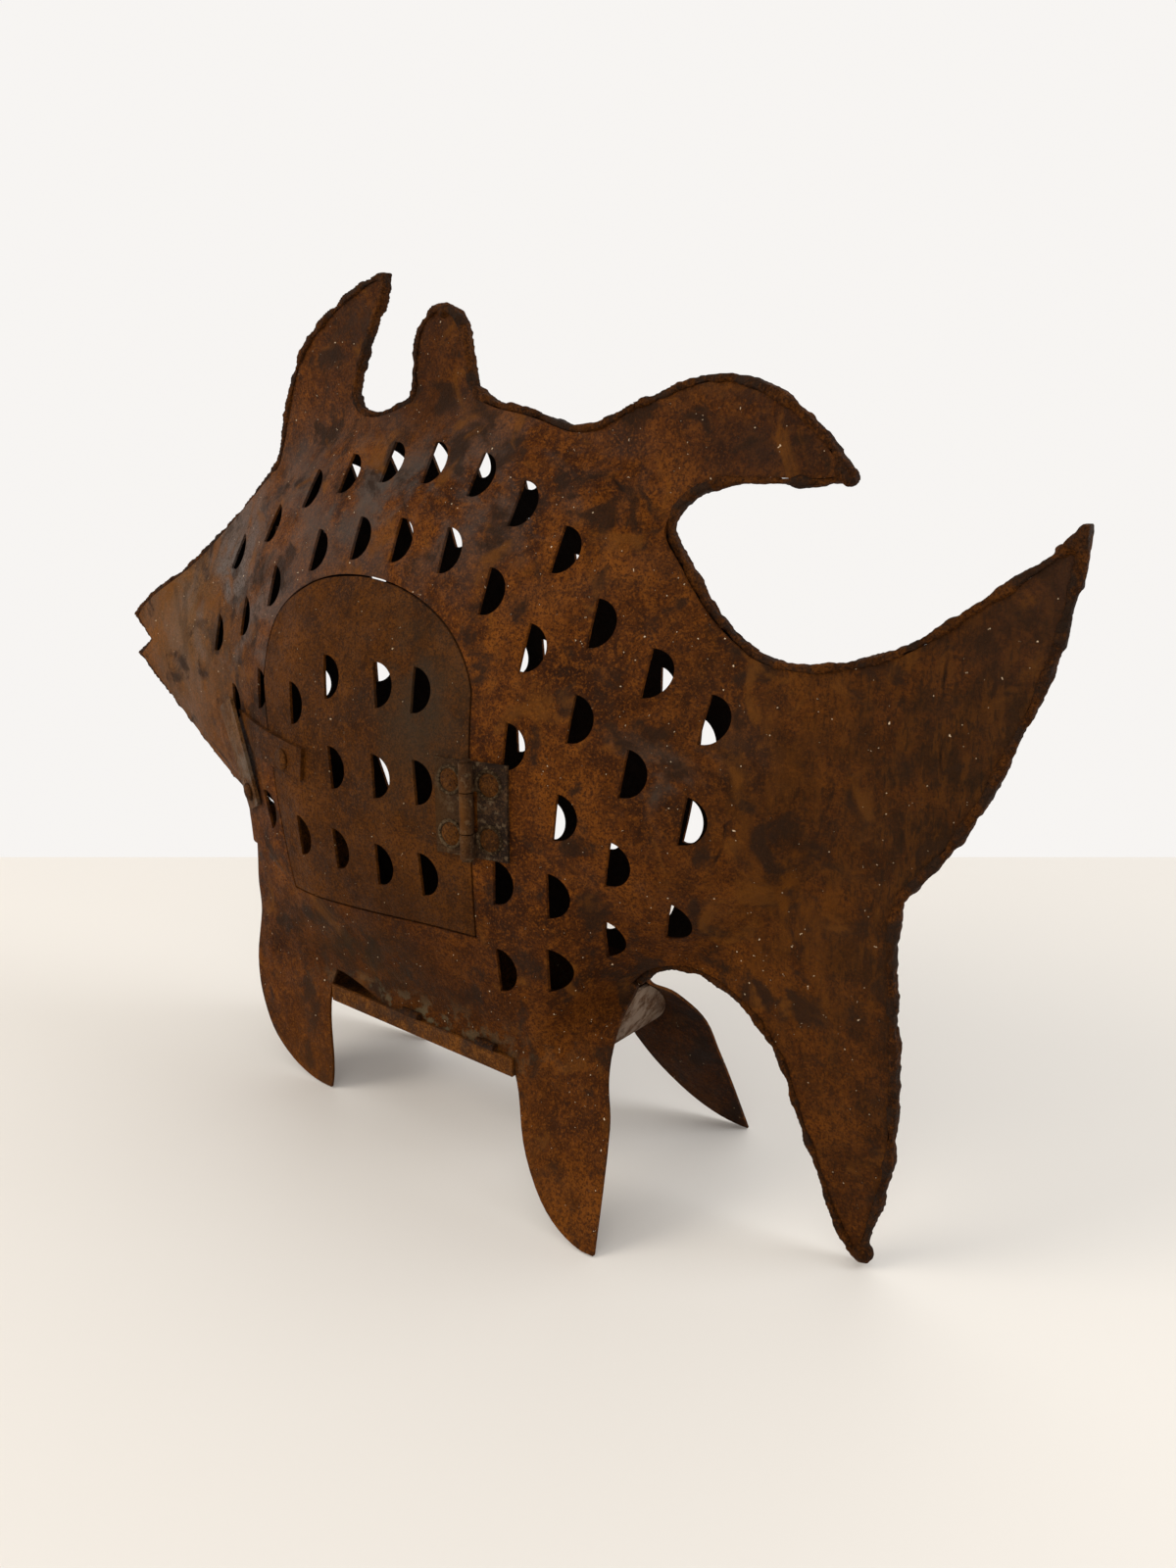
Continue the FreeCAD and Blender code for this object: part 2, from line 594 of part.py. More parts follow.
def leaf(low_x, high_x, cut_low_x, cut_high_x, cuts, spots):
    """Hinge leaf bent to the side, cut back where the other leaf's knuckles turn. Its
    root rises beside the pin into the knuckles."""
    plate = dished_slab(low_x, high_x, hinge_low, hinge_top, SEAT + size("leaf_sheet"), SEAT,
                        PITCH / 2)
    away = 1 if high_x > pin_spot.x else -1
    root_ends = sorted((pin_spot.x + away * SEAT, pin_spot.x + away * barrel * 0.8))
    root = dished_slab(root_ends[0], root_ends[1], hinge_low + SEAT, hinge_top - SEAT,
                       barrel + FREE, SEAT + size("leaf_sheet") / 2, PITCH / 2)
    middle_wall = (barrel + size("pin_radius") + size("pin_clearance")) / 2
    hollow = Part.makeCylinder(middle_wall, size("hinge_height") + 2 * OVERRUN,
                               FreeCAD.Vector(pin_spot.x, pin_spot.y, hinge_low - OVERRUN))
    plate = plate.fuse(root.cut(hollow))
    tools = [rivet_hole(x, z, shank + SEAT) for x, z in spots]
    for low, top in cuts:
        corner = FreeCAD.Vector(cut_low_x, pin_spot.y - ACROSS / 2, low)
        tools.append(Part.makeBox(cut_high_x - cut_low_x, ACROSS, top - low, corner))
    return plate.cut(tools)


knuckle_gap = size("knuckle_gap")
low_end = hinge_low + size("hinge_low_knuckle")
top_start = hinge_top - size("hinge_top_knuckle")
relief = barrel + FREE
leaf_width = size("leaf_width")
body_plate = leaf(pin_spot.x, pin_spot.x + leaf_width, pin_spot.x - OVERRUN, pin_spot.x + relief,
                  [(low_end, top_start)], body_rivet_spots)
door_plate = leaf(pin_spot.x - leaf_width, pin_spot.x, pin_spot.x - relief, pin_spot.x + OVERRUN,
                  [(hinge_low - OVERRUN, low_end + knuckle_gap),
                   (top_start - knuckle_gap, hinge_top + OVERRUN)], door_rivet_spots)

# Latch: the strap turns in a plane that leans out over the tongue.
strap_pivot_shares = (0.2842, 0.3857)
strap_run_slope_share = 0.34
strap_rise_slope_share = 0.095
strap_rest_lean = -24.0
strap_lock_turn = 35.0
tongue_right_shares = ((0.3949, 0.4662), (0.3903, 0.4273))
tongue_low_left_shares = (0.3016, 0.4399)
tongue_high_left_shares = (0.265, 0.4884)
tongue_rivet_shares = (0.3621, 0.4472)

pivot_x = (strap_pivot_shares[0] - 0.5) * LENGTH
pivot_z = strap_pivot_shares[1] * HEIGHT
strap_sheet = size("strap_sheet")
strap_length = size("strap_length")
strap_heel = size("strap_heel")
strap_foot = size("strap_foot_width")
strap_top = size("strap_top_width")
tongue_off = size("tongue_standoff")
tongue_sheet = size("tongue_sheet")
tongue_corners = placed((tongue_high_left_shares, tongue_right_shares[0], tongue_right_shares[1],
                         tongue_low_left_shares))
tongue_face = closed_face([Part.makeLine(a, b) for a, b in
                           zip(tongue_corners, tongue_corners[1:] + tongue_corners[:1])])
slope_length = math.sqrt(1 + strap_run_slope_share ** 2 + strap_rise_slope_share ** 2)
strap_normal = FreeCAD.Vector(-strap_run_slope_share, -1, -strap_rise_slope_share)
strap_normal.normalize()
strap_up = FreeCAD.Vector(0, -strap_rise_slope_share, 1)
strap_up.normalize()
strap_right = strap_up.cross(strap_normal)
strap_right.normalize()


def over_tongue(x, z):
    """Whether this place lies over the tongue or close beside it."""
    flat = tongue_corners + tongue_corners[:1]
    for a, b in zip(flat, flat[1:]):
        edge = b - a
        off = (edge.x * (z - a.z) - edge.z * (x - a.x)) / edge.Length
        if off > 2 * FREE:
            return False
    return True


def strap_height():
    """Inner face of the strap over the sheet at its pivot, so that it clears the side
    and the tongue wherever it turns."""
    need = 0.0
    for turn in range(0, 8):
        lean = math.radians(strap_rest_lean + strap_lock_turn * turn / 7)
        for step in range(13):
            out = -strap_heel + (strap_length + strap_heel) * step / 12
            half = (strap_foot + (strap_top - strap_foot) * step / 12) / 2
            for part in (-1.0, -0.5, 0.0, 0.5, 1.0):
                x = pivot_x + out * math.sin(lean) + half * part * math.cos(lean)
                z = pivot_z + out * math.cos(lean) - half * part * math.sin(lean)
                wanted = side(x, z) + FREE * face_stretch(x, z)
                if over_tongue(x, z):
                    wanted += (tongue_off + tongue_sheet) * face_stretch(x, z)
                plane = side(pivot_x, pivot_z)
                plane += strap_run_slope_share * (x - pivot_x)
                plane += strap_rise_slope_share * (z - pivot_z)
                need = max(need, wanted - plane)
    return need / slope_length


strap_off = strap_height()
pivot_base = FreeCAD.Vector(pivot_x, -side(pivot_x, pivot_z), pivot_z)
pivot_spot = pivot_base + strap_normal * strap_off
strap_frame = FreeCAD.Rotation(strap_right, strap_up, strap_normal, "ZXY")


def tongue_lift(x):
    """The tongue lies on the door and is set out past the door's edge."""
    edge = placed(door_left_shares)[1].x
    return (tongue_off - SEAT) * (1 - ease(x, edge, edge + size("tongue_set_length")))


tongue_blank = dished_slab(tongue_corners[0].x - PITCH, tongue_corners[1].x + PITCH,
                           tongue_corners[3].z - PITCH * 2, tongue_corners[0].z + PITCH,
                           SEAT + tongue_sheet, SEAT, PITCH / 2, tongue_lift)
tongue_spot = placed((tongue_rivet_shares,))[0]
tongue_plate = tongue_blank.common(across(tongue_face, 0.0, ACROSS))
tongue_plate = tongue_plate.cut(rivet_hole(tongue_spot.x, tongue_spot.z, shank + SEAT))

pivot_hole = Part.makeCylinder(shank + SEAT, 2 * OVERRUN, pivot_base - strap_normal * OVERRUN,
                               strap_normal)
near_cuts = body_punches + [doorway_prism, pivot_hole]
near_cuts += [rivet_hole(x, z, shank + SEAT) for x, z in body_rivet_spots]
near_sheet = near_blank.cut(near_cuts)
door_cuts = door_punches + [rivet_hole(x, z, shank + SEAT) for x, z in door_rivet_spots]
door_cuts.append(rivet_hole(tongue_spot.x, tongue_spot.z, shank + SEAT))
door_sheet = form.common(door_prism).cut(door_cuts)
far_sheet = near_blank.cut(far_punches).mirror(FreeCAD.Vector(0, 0, 0), FreeCAD.Vector(0, 1, 0))

parts = []


def keep(item, label):
    """Name a finished piece and hold it for the checks and the export."""
    item.Label = label
    parts.append(item)
    return item


def shaped(label, shape):
    """Piece with a dished form that no drawn feature gives."""
    item = doc.addObject("Part::Feature", label)
    if shape.ShapeType == "Compound" and len(shape.Solids) == 1:
        shape = shape.Solids[0]
    item.Shape = shape
    item.Placement = FreeCAD.Placement()
    return item


def bound(kind, name, **values):
    """Feature with its sizes tied to the sheet."""
    item = doc.addObject(kind, name)
    for field, formula in values.items():
        item.setExpression(field, formula)
    return item


def stood(item, spot, rotation=None):
    item.Placement = FreeCAD.Placement(spot, rotation or FreeCAD.Rotation())
    return item


keep(shaped("near_side_shell", near_sheet), "near_side_shell")
keep(shaped("far_side_shell", far_sheet), "far_side_shell")

# Weld beads along the rim.
inner_runs = moved_rim(rim_tables, bead_widths)
names = [name for name, table, welded in RIM]


def weld(label, first, last):
    """Bead over the rim from one named stretch to another."""
    start = names.index(first)
    end = names.index(last)
    edges = []
    for k in range(start, end + 1):
        edges.append(bent(placed(rim_tables[k])))
    edges += joined(placed(rim_tables[end])[-1], inner_runs[end][-1])
    for k in range(end, start - 1, -1):
        run = list(reversed(inner_runs[k]))
        points = [run[0], run[-1]] if straight(rim_tables[k]) else thinned(run)
        edges.append(bent(points))
    edges += joined(inner_runs[start][0], placed(rim_tables[start])[0])
    band = doc.addObject("Part::Feature", label + "_band")
    band.Shape = closed_face(edges)
    item = doc.addObject("Part::Extrusion", label)
    item.Base = band
    item.DirMode = "Custom"
    item.Dir = FreeCAD.Vector(0, 1, 0)
    item.Solid = True
    item.setExpression("LengthFwd", "sizes.weld_half_thickness")
    item.setExpression("LengthRev", "sizes.weld_half_thickness")
    return keep(item, label)


weld("brow_seam_weld", "brow", "brow")
weld("front_fins_weld", "horn front", "crest fin")
weld("back_seam_weld", "back", "back")
weld("rear_fin_weld", "rear fin top", "rear fin low")
weld("tail_seam_weld", "tail top", "tail front")
weld("chin_seam_weld", "chin", "mouth high")

# Tray between the legs: its flanges lie outside the two side sheets.
tray_front = size("tray_front_place")
tray_rear = size("tray_rear_place")
flange_top = FOLD + size("flange_rise")


def widest_side(x):
    """Fullest half width of the sheets beside the tray flange."""
    levels = [FOLD + (flange_top - FOLD) * k / 6 for k in range(7)]
    return max(side(x, z) for z in levels)


def flange_line(x):
    front = widest_side(tray_front)
    rear = widest_side(tray_rear)
    return front + (rear - front) * (x - tray_front) / (tray_rear - tray_front)


steps = [tray_front + (tray_rear - tray_front) * k / 24 for k in range(25)]
bulge = max(widest_side(x) - flange_line(x) for x in steps)
enter("tray_half_front", flange_line(tray_front) + bulge + SEAT, "inside of the flange, worked out")
enter("tray_half_rear", flange_line(tray_rear) + bulge + SEAT, "inside of the flange, worked out")
doc.recompute()


def drawn(body, role, name, corners):
    """Closed sketch with straight sides, each corner tied to two formulas."""
    plane = [item for item in body.Origin.OriginFeatures if item.Role == role][0]
    sketch = body.newObject("Sketcher::SketchObject", name)
    sketch.AttachmentSupport = [(plane, "")]
    sketch.MapMode = "FlatFace"
    spots = []
    for across_formula, up_formula in corners:
        spots.append(FreeCAD.Vector(float(sketch.evalExpression(across_formula)),
                                    float(sketch.evalExpression(up_formula)), 0))
    count = len(spots)
    for k in range(count):
        sketch.addGeometry(Part.LineSegment(spots[k], spots[(k + 1) % count]))
    for k in range(count):
        sketch.addConstraint(Sketcher.Constraint("Coincident", k, 2, (k + 1) % count, 1))
    for k, formulas in enumerate(corners):
        for kind, axis, spot, formula in (("DistanceX", -2, spots[k].x, formulas[0]),
                                          ("DistanceY", -1, spots[k].y, formulas[1])):
            if spot == 0:
                sketch.addConstraint(Sketcher.Constraint("PointOnObject", k, 1, axis))
                continue
            number = sketch.addConstraint(Sketcher.Constraint(kind, k, 1, spot))
            sketch.setExpression("Constraints[%d]" % number, formula)
    return sketch


def padded(body, sketch, name, kind, formula):
    """Pad or Pocket of a sketch with its length tied to the sheet."""
    feature = body.newObject(kind, name)
    feature.Profile = sketch
    feature.setExpression("Length", formula)
    sketch.Visibility = False
    return feature


def cut_checked(body, feature):
    """The volume that a pocket took away, which is never nothing."""
    doc.recompute()
    before = feature.BaseFeature.Shape.Volume
    if before - feature.Shape.Volume < SEAT ** 3:
        raise RuntimeError(body.Label + ": the cut took nothing away")


tray = keep(doc.addObject("PartDesign::Body", "floor_tray"), "floor_tray")
tray_outer = drawn(tray, "XY_Plane", "tray_blank", (
    ("sizes.tray_front_place", "-(sizes.tray_half_front + sizes.sheet_iron)"),
    ("sizes.tray_rear_place", "-(sizes.tray_half_rear + sizes.sheet_iron)"),
    ("sizes.tray_rear_place", "sizes.tray_half_rear + sizes.sheet_iron"),
    ("sizes.tray_front_place", "sizes.tray_half_front + sizes.sheet_iron"),
))
padded(tray, tray_outer, "tray_pad", "PartDesign::Pad", "sizes.flange_rise")
tray_inner = drawn(tray, "XY_Plane", "tray_hollow", (
    ("sizes.tray_front_place - sizes.cut_overrun", "-(sizes.tray_half_front"
     " - (sizes.tray_half_rear - sizes.tray_half_front) * sizes.cut_overrun"
     " / (sizes.tray_rear_place - sizes.tray_front_place))"),
    ("sizes.tray_rear_place + sizes.cut_overrun", "-(sizes.tray_half_rear"
     " + (sizes.tray_half_rear - sizes.tray_half_front) * sizes.cut_overrun"
     " / (sizes.tray_rear_place - sizes.tray_front_place))"),
    ("sizes.tray_rear_place + sizes.cut_overrun", "sizes.tray_half_rear"
     " + (sizes.tray_half_rear - sizes.tray_half_front) * sizes.cut_overrun"
     " / (sizes.tray_rear_place - sizes.tray_front_place)"),
    ("sizes.tray_front_place - sizes.cut_overrun", "sizes.tray_half_front"
     " - (sizes.tray_half_rear - sizes.tray_half_front) * sizes.cut_overrun"
     " / (sizes.tray_rear_place - sizes.tray_front_place)"),
))
tray_inner.setExpression("AttachmentOffset.Base.z", "sizes.sheet_iron")
hollow = padded(tray, tray_inner, "tray_pocket", "PartDesign::Pocket", "sizes.flange_rise")
hollow.Reversed = True
cut_checked(tray, hollow)
tray.setExpression("Placement.Base.z", "sizes.tray_level")


def bundle(label, items):
    """Like pieces in one group of separate solids."""
    group = doc.addObject("Part::Compound", label)
    group.Links = items
    return keep(group, label)


# Belly plates: from each end of the tray up to the rim, between the two side sheets.
front_plate_shares = ((0.3316, 0.1329), (0.3, 0.1643), (0.2882, 0.2214), (0.2842, 0.2786),
                      (0.2671, 0.3193), (0.2421, 0.3236), (0.2211, 0.3329))
rear_plate_shares = ((0.6447, 0.1336), (0.6618, 0.1536), (0.6737, 0.1857), (0.6847, 0.2232))


def belly_plate(label, start_x, table):
    """Sheet bent along a line in the seam plane and cut to fit between the sides."""
    line = bent([FreeCAD.Vector(start_x, 0, FOLD + SHEET / 2)] + placed(table)).discretize(CURVE_STEPS)
    edges = []
    for hand in (-1, 1):
        raised = []
        for k, point in enumerate(line):
            ahead = line[min(k + 1, len(line) - 1)] - line[max(k - 1, 0)]
            ahead.normalize()
            raised.append(point + FreeCAD.Vector(ahead.z, 0, -ahead.x) * hand * SHEET / 2)
        edges.append(bent(thinned(raised)))
    ends = [[edge.Vertexes[k].Point for edge in edges] for k in (0, -1)]
    face = closed_face([edges[0], Part.makeLine(ends[1][0], ends[1][1]), edges[1],
                        Part.makeLine(ends[0][1], ends[0][0])])
    blank = across(face, HALF_WIDTH, 2 * HALF_WIDTH)
    box = face.BoundBox
    side_slab = dished_slab(box.XMin - PITCH, box.XMax + PITCH, box.ZMin - PITCH, box.ZMax + PITCH,
                            2 * OVERRUN, -SHEET - FREE, PITCH / 2)
    other_slab = side_slab.mirror(FreeCAD.Vector(0, 0, 0), FreeCAD.Vector(0, 1, 0))
    trimmed = blank.cut([side_slab, other_slab])
    middle = [item for item in trimmed.Solids if abs(item.CenterOfMass.y) < SEAT]
    return keep(shaped(label, middle[0]), label)


belly_plate("front_belly_plate", tray_front - FREE, front_plate_shares)
belly_plate("rear_belly_plate", tray_rear + FREE, rear_plate_shares)

# Weld beads on the flange's upper edge.
tack = size("tack_radius")
tack_length = size("tack_length")
tack_level = flange_top + SEAT + tack
tray_tacks = []
flange_turn = math.degrees(math.atan2(flange_line(tray_rear) - flange_line(tray_front),
                                      tray_rear - tray_front))
for number, middle in enumerate((size("tack_front_place"), size("tack_rear_place"))):
    ends = (middle - tack_length / 2, middle, middle + tack_length / 2)
    reach = max(side(x, tack_level + s * tack) - flange_line(x) for x in ends for s in (-1, 0, 1))
    for hand in (-1, 1):
        bar = bound("Part::Cylinder", "tray_tack_%d_%s" % (number, "near" if hand < 0 else "far"),
                    Radius="sizes.tack_radius", Height="sizes.tack_length")
        turn = FreeCAD.Rotation(FreeCAD.Vector(0, 0, 1), hand * flange_turn)
        lay = FreeCAD.Rotation(FreeCAD.Vector(0, 1, 0), 90)
        spot = FreeCAD.Vector(middle, hand * (flange_line(middle) + reach + SEAT + tack), tack_level)
        start = spot - turn.multVec(FreeCAD.Vector(tack_length / 2, 0, 0))
        tray_tacks.append(stood(bar, start, turn.multiply(lay)))
bundle("tray_tack_welds", tray_tacks)

# Candle cup on the tray.
cup = keep(doc.addObject("PartDesign::Body", "candle_cup"), "candle_cup")
cup_profile = drawn(cup, "XZ_Plane", "cup_profile", (
    ("0", "0"),
    ("sizes.cup_bore_radius + sizes.cup_wall", "0"),
    ("sizes.cup_bore_radius + sizes.cup_wall", "sizes.cup_rise"),
    ("sizes.cup_bore_radius", "sizes.cup_rise"),
    ("sizes.cup_bore_radius", "sizes.cup_wall"),
    ("0", "sizes.cup_wall"),
))
cup_turn = cup.newObject("PartDesign::Revolution", "cup_turn")
cup_turn.Profile = cup_profile
cup_turn.ReferenceAxis = (cup_profile, ["V_Axis"])
cup_turn.Angle = 360
cup.setExpression("Placement.Base.x", "sizes.cup_place")
cup.setExpression("Placement.Base.z", "sizes.tray_level + sizes.sheet_iron + sizes.seat_gap")

cup_tacks = []
for number in range(3):
    lump = bound("Part::Cylinder", "cup_tack_%d" % number,
                 Radius="sizes.tack_radius", Height="sizes.cup_tack_rise")
    angle = math.radians(60 + 120 * number)
    reach = size("cup_bore_radius") + size("cup_wall") + SEAT + tack
    spot = FreeCAD.Vector(size("cup_place") + reach * math.cos(angle), reach * math.sin(angle),
                          FOLD + SHEET + SEAT)
    cup_tacks.append(stood(lump, spot))
bundle("cup_tack_welds", cup_tacks)

# Door and hinge.
keep(shaped("door", door_sheet), "door")


def hinge_leaf(label, plate, knuckles):
    """Leaf plate joined to its knuckles, with the pin's bore through them."""
    tubes = []
    for number, (low, height) in enumerate(knuckles):
        tube = bound("Part::Cylinder", "%s_knuckle_%d" % (label, number),
                     Radius="sizes.barrel_radius", Height=height)
        bore = bound("Part::Cylinder", "%s_bore_%d" % (label, number),
                     Radius="sizes.pin_radius + sizes.pin_clearance", Height=height)
        hollow = doc.addObject("Part::Cut", "%s_tube_%d" % (label, number))
        hollow.Base = tube
        hollow.Tool = bore
        for piece in (tube, bore):
            piece.setExpression("Placement.Base.x", "sizes.pin_x_place")
            piece.setExpression("Placement.Base.y", "sizes.pin_y_place")
            piece.setExpression("Placement.Base.z", low)
        tubes.append(hollow)
    item = doc.addObject("Part::MultiFuse", label)
    item.Shapes = [shaped(label + "_plate", plate)] + tubes
    return keep(item, label)


hinge_leaf("door_hinge_leaf", door_plate, (
    ("sizes.hinge_low_level + sizes.hinge_low_knuckle + sizes.knuckle_gap",
     "sizes.hinge_height - sizes.hinge_low_knuckle - sizes.hinge_top_knuckle"
     " - 2 * sizes.knuckle_gap"),
))
hinge_leaf("body_hinge_leaf", body_plate, (
    ("sizes.hinge_low_level", "sizes.hinge_low_knuckle"),
    ("sizes.hinge_low_level + sizes.hinge_height - sizes.hinge_top_knuckle",
     "sizes.hinge_top_knuckle"),
))

pin = keep(doc.addObject("PartDesign::Body", "hinge_pin"), "hinge_pin")
pin_profile = drawn(pin, "XZ_Plane", "pin_profile", (
    ("0", "-(sizes.knuckle_gap / 2 + sizes.pin_head_rise)"),
    ("sizes.pin_head_radius", "-(sizes.knuckle_gap / 2 + sizes.pin_head_rise)"),
    ("sizes.pin_head_radius", "-sizes.knuckle_gap / 2"),
    ("sizes.pin_radius", "-sizes.knuckle_gap / 2"),
    ("sizes.pin_radius", "sizes.hinge_height + sizes.knuckle_gap / 2"),
    ("sizes.pin_head_radius", "sizes.hinge_height + sizes.knuckle_gap / 2"),
    ("sizes.pin_head_radius", "sizes.hinge_height + sizes.knuckle_gap / 2 + sizes.pin_head_rise"),
    ("0", "sizes.hinge_height + sizes.knuckle_gap / 2 + sizes.pin_head_rise"),
))
pin_turn = pin.newObject("PartDesign::Revolution", "pin_turn")
pin_turn.Profile = pin_profile
pin_turn.ReferenceAxis = (pin_profile, ["V_Axis"])
pin_turn.Angle = 360
pin.setExpression("Placement.Base.x", "sizes.pin_x_place")
pin.setExpression("Placement.Base.y", "sizes.pin_y_place")
pin.setExpression("Placement.Base.z", "sizes.hinge_low_level")


def rivet(name, spot, normal, head_radius, grip, collar=None):
    """Rivet with a domed head at spot, its shank through the grip and a clenched end."""
    turn = FreeCAD.Rotation(FreeCAD.Vector(0, 0, 1), normal)
    head = bound("Part::Ellipsoid", name + "_head", Radius1="sizes.rivet_head_rise",
                 Radius2=head_radius, Radius3=head_radius)
    head.Angle1 = 0
    enter(name + "_grip", grip, "under the head to the clenched end, worked out")
    body = bound("Part::Cylinder", name + "_shank", Radius="sizes.rivet_shank_radius",
                 Height="sizes.%s_grip + sizes.rivet_tail_rise / 2 + sizes.rivet_head_rise / 2"
                 % name)
    end = bound("Part::Cylinder", name + "_end", Radius="sizes.rivet_tail_radius",
                Height="sizes.rivet_tail_rise")
    tail = size("rivet_tail_rise")
    stood(head, spot, turn)
    stood(body, spot - normal * (grip + tail / 2), turn)
    stood(end, spot - normal * (grip + tail), turn)
    pieces = [head, body, end]
    if collar:
        low, high = collar
        enter(name + "_collar", high - low, "collar between sheet and strap, worked out")
        ring = bound("Part::Cylinder", name + "_ring", Radius="sizes.strap_collar_radius",
                     Height="sizes.%s_collar" % name)
        stood(ring, spot - normal * high, turn)
        pieces.append(ring)
    item = doc.addObject("Part::MultiFuse", name)
    item.Shapes = pieces
    return item


leaf_grip = SEAT + SEAT + size("leaf_sheet") + SHEET + 3 * SEAT
for label, tag, spots in (("door_leaf_rivets", "door_rivet", door_rivet_spots),
                          ("body_leaf_rivets", "body_rivet", body_rivet_spots)):
    made = []
    for word, (x, z) in zip(("upper", "lower"), spots):
        made.append(rivet("%s_%s" % (tag, word), on_side(x, z, SEAT + size("leaf_sheet") + SEAT),
                          outward(x, z), "sizes.rivet_head_radius", leaf_grip))
    bundle(label, made)

keep(shaped("latch_tongue", tongue_plate), "latch_tongue")
tongue_top = 2 * SEAT + tongue_sheet + tongue_lift(tongue_spot.x - size("rivet_head_radius"))
tongue_rivet = rivet("tongue_rivet", on_side(tongue_spot.x, tongue_spot.z, tongue_top),
                     outward(tongue_spot.x, tongue_spot.z), "sizes.rivet_head_radius",
                     tongue_top + SHEET + 3 * SEAT)
keep(tongue_rivet, "latch_tongue_rivet")

# Latch strap, drawn flat with its pivot at the origin.
strap = keep(doc.addObject("PartDesign::Body", "latch_strap"), "latch_strap")
strap_outline = drawn(strap, "XY_Plane", "strap_outline", (
    ("-sizes.strap_foot_width / 2", "-sizes.strap_heel"),
    ("sizes.strap_foot_width / 2", "-sizes.strap_heel"),
    ("sizes.strap_top_width / 2", "sizes.strap_length"),
    ("-sizes.strap_top_width / 2", "sizes.strap_length"),
))
strap_pad = padded(strap, strap_outline, "strap_pad", "PartDesign::Pad", "sizes.strap_sheet")
doc.recompute()
uprights = []
for number, edge in enumerate(strap_pad.Shape.Edges, start=1):
    if abs(edge.Vertexes[0].Z - edge.Vertexes[-1].Z) > strap_sheet / 2:
        uprights.append("Edge%d" % number)
strap_round = strap.newObject("PartDesign::Fillet", "strap_round")
strap_round.Base = (strap_pad, uprights)
strap_round.setExpression("Radius", "sizes.strap_corner")
doc.recompute()
hole_plane = [item for item in strap.Origin.OriginFeatures if item.Role == "XY_Plane"][0]
hole_sketch = strap.newObject("Sketcher::SketchObject", "pivot_hole")
hole_sketch.AttachmentSupport = [(hole_plane, "")]
hole_sketch.MapMode = "FlatFace"
hole_sketch.addGeometry(Part.Circle(FreeCAD.Vector(0, 0, 0), FreeCAD.Vector(0, 0, 1), shank))
hole_sketch.addConstraint(Sketcher.Constraint("Coincident", 0, 3, -1, 1))
ring_number = hole_sketch.addConstraint(Sketcher.Constraint("Radius", 0, shank))
hole_sketch.setExpression("Constraints[%d]" % ring_number,
                          "sizes.rivet_shank_radius + sizes.pin_clearance")
strap_bore = padded(strap, hole_sketch, "strap_bore", "PartDesign::Pocket",
                    "sizes.strap_sheet + sizes.cut_overrun")
strap_bore.Reversed = True
cut_checked(strap, strap_bore)
lean = FreeCAD.Rotation(FreeCAD.Vector(0, 0, 1), -strap_rest_lean)
stood(strap, pivot_spot, strap_frame.multiply(lean))

head_spot = pivot_spot + strap_normal * (strap_sheet + FREE)
pivot_grip = strap_off + strap_sheet + FREE + SHEET + 3 * SEAT
g, k = tilt(pivot_x, pivot_z)
lean_gap = size("strap_collar_radius") * math.tan(math.acos(min(
    1.0, outward(pivot_x, pivot_z).dot(strap_normal))))
collar_low = strap_sheet + FREE + FREE
collar_high = strap_off + strap_sheet + FREE - lean_gap - SEAT
pivot_rivet = rivet("strap_rivet", head_spot, strap_normal, "sizes.strap_head_radius",
                    pivot_grip + lean_gap, (collar_low, collar_high))
keep(pivot_rivet, "latch_strap_rivet")
doc.recompute()

for item in doc.Objects:
    bad = [state for state in item.State if state in ("Invalid", "Error")]
    if bad:
        raise RuntimeError("%s: %s" % (item.Label, bad))
for item in parts:
    if item.Shape.isNull() or not item.Shape.isValid():
        raise RuntimeError("%s has no valid shape" % item.Label)

os.makedirs("parts", exist_ok=True)
for item in parts:
    item.Shape.exportStep("parts/%s.step" % item.Label)
    box = item.Shape.BoundBox
    print("%-20s solids %d volume %8.1f x %.1f..%.1f y %.1f..%.1f z %.1f..%.1f" % (
        item.Label, len(item.Shape.Solids), item.Shape.Volume,
        box.XMin, box.XMax, box.YMin, box.YMax, box.ZMin, box.ZMax))
print("hinge pin at", pin_spot, "strap pivot at", pivot_spot, "normal", strap_normal,
      "off", strap_off)
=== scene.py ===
import math

import bpy
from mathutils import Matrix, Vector


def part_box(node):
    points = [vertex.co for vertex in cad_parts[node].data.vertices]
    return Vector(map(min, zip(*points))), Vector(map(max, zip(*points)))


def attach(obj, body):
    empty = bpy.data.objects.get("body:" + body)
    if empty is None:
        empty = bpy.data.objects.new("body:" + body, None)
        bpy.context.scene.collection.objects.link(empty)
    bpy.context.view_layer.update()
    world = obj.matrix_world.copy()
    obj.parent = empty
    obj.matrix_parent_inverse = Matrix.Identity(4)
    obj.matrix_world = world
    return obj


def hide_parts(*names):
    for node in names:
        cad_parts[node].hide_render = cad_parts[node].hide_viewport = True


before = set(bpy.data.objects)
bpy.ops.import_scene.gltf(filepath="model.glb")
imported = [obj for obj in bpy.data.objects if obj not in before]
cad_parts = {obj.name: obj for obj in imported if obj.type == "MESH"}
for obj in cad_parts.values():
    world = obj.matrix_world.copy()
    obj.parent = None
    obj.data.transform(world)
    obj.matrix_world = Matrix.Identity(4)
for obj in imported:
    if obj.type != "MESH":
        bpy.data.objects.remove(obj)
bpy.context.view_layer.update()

bpy.ops.object.select_all(action="DESELECT")

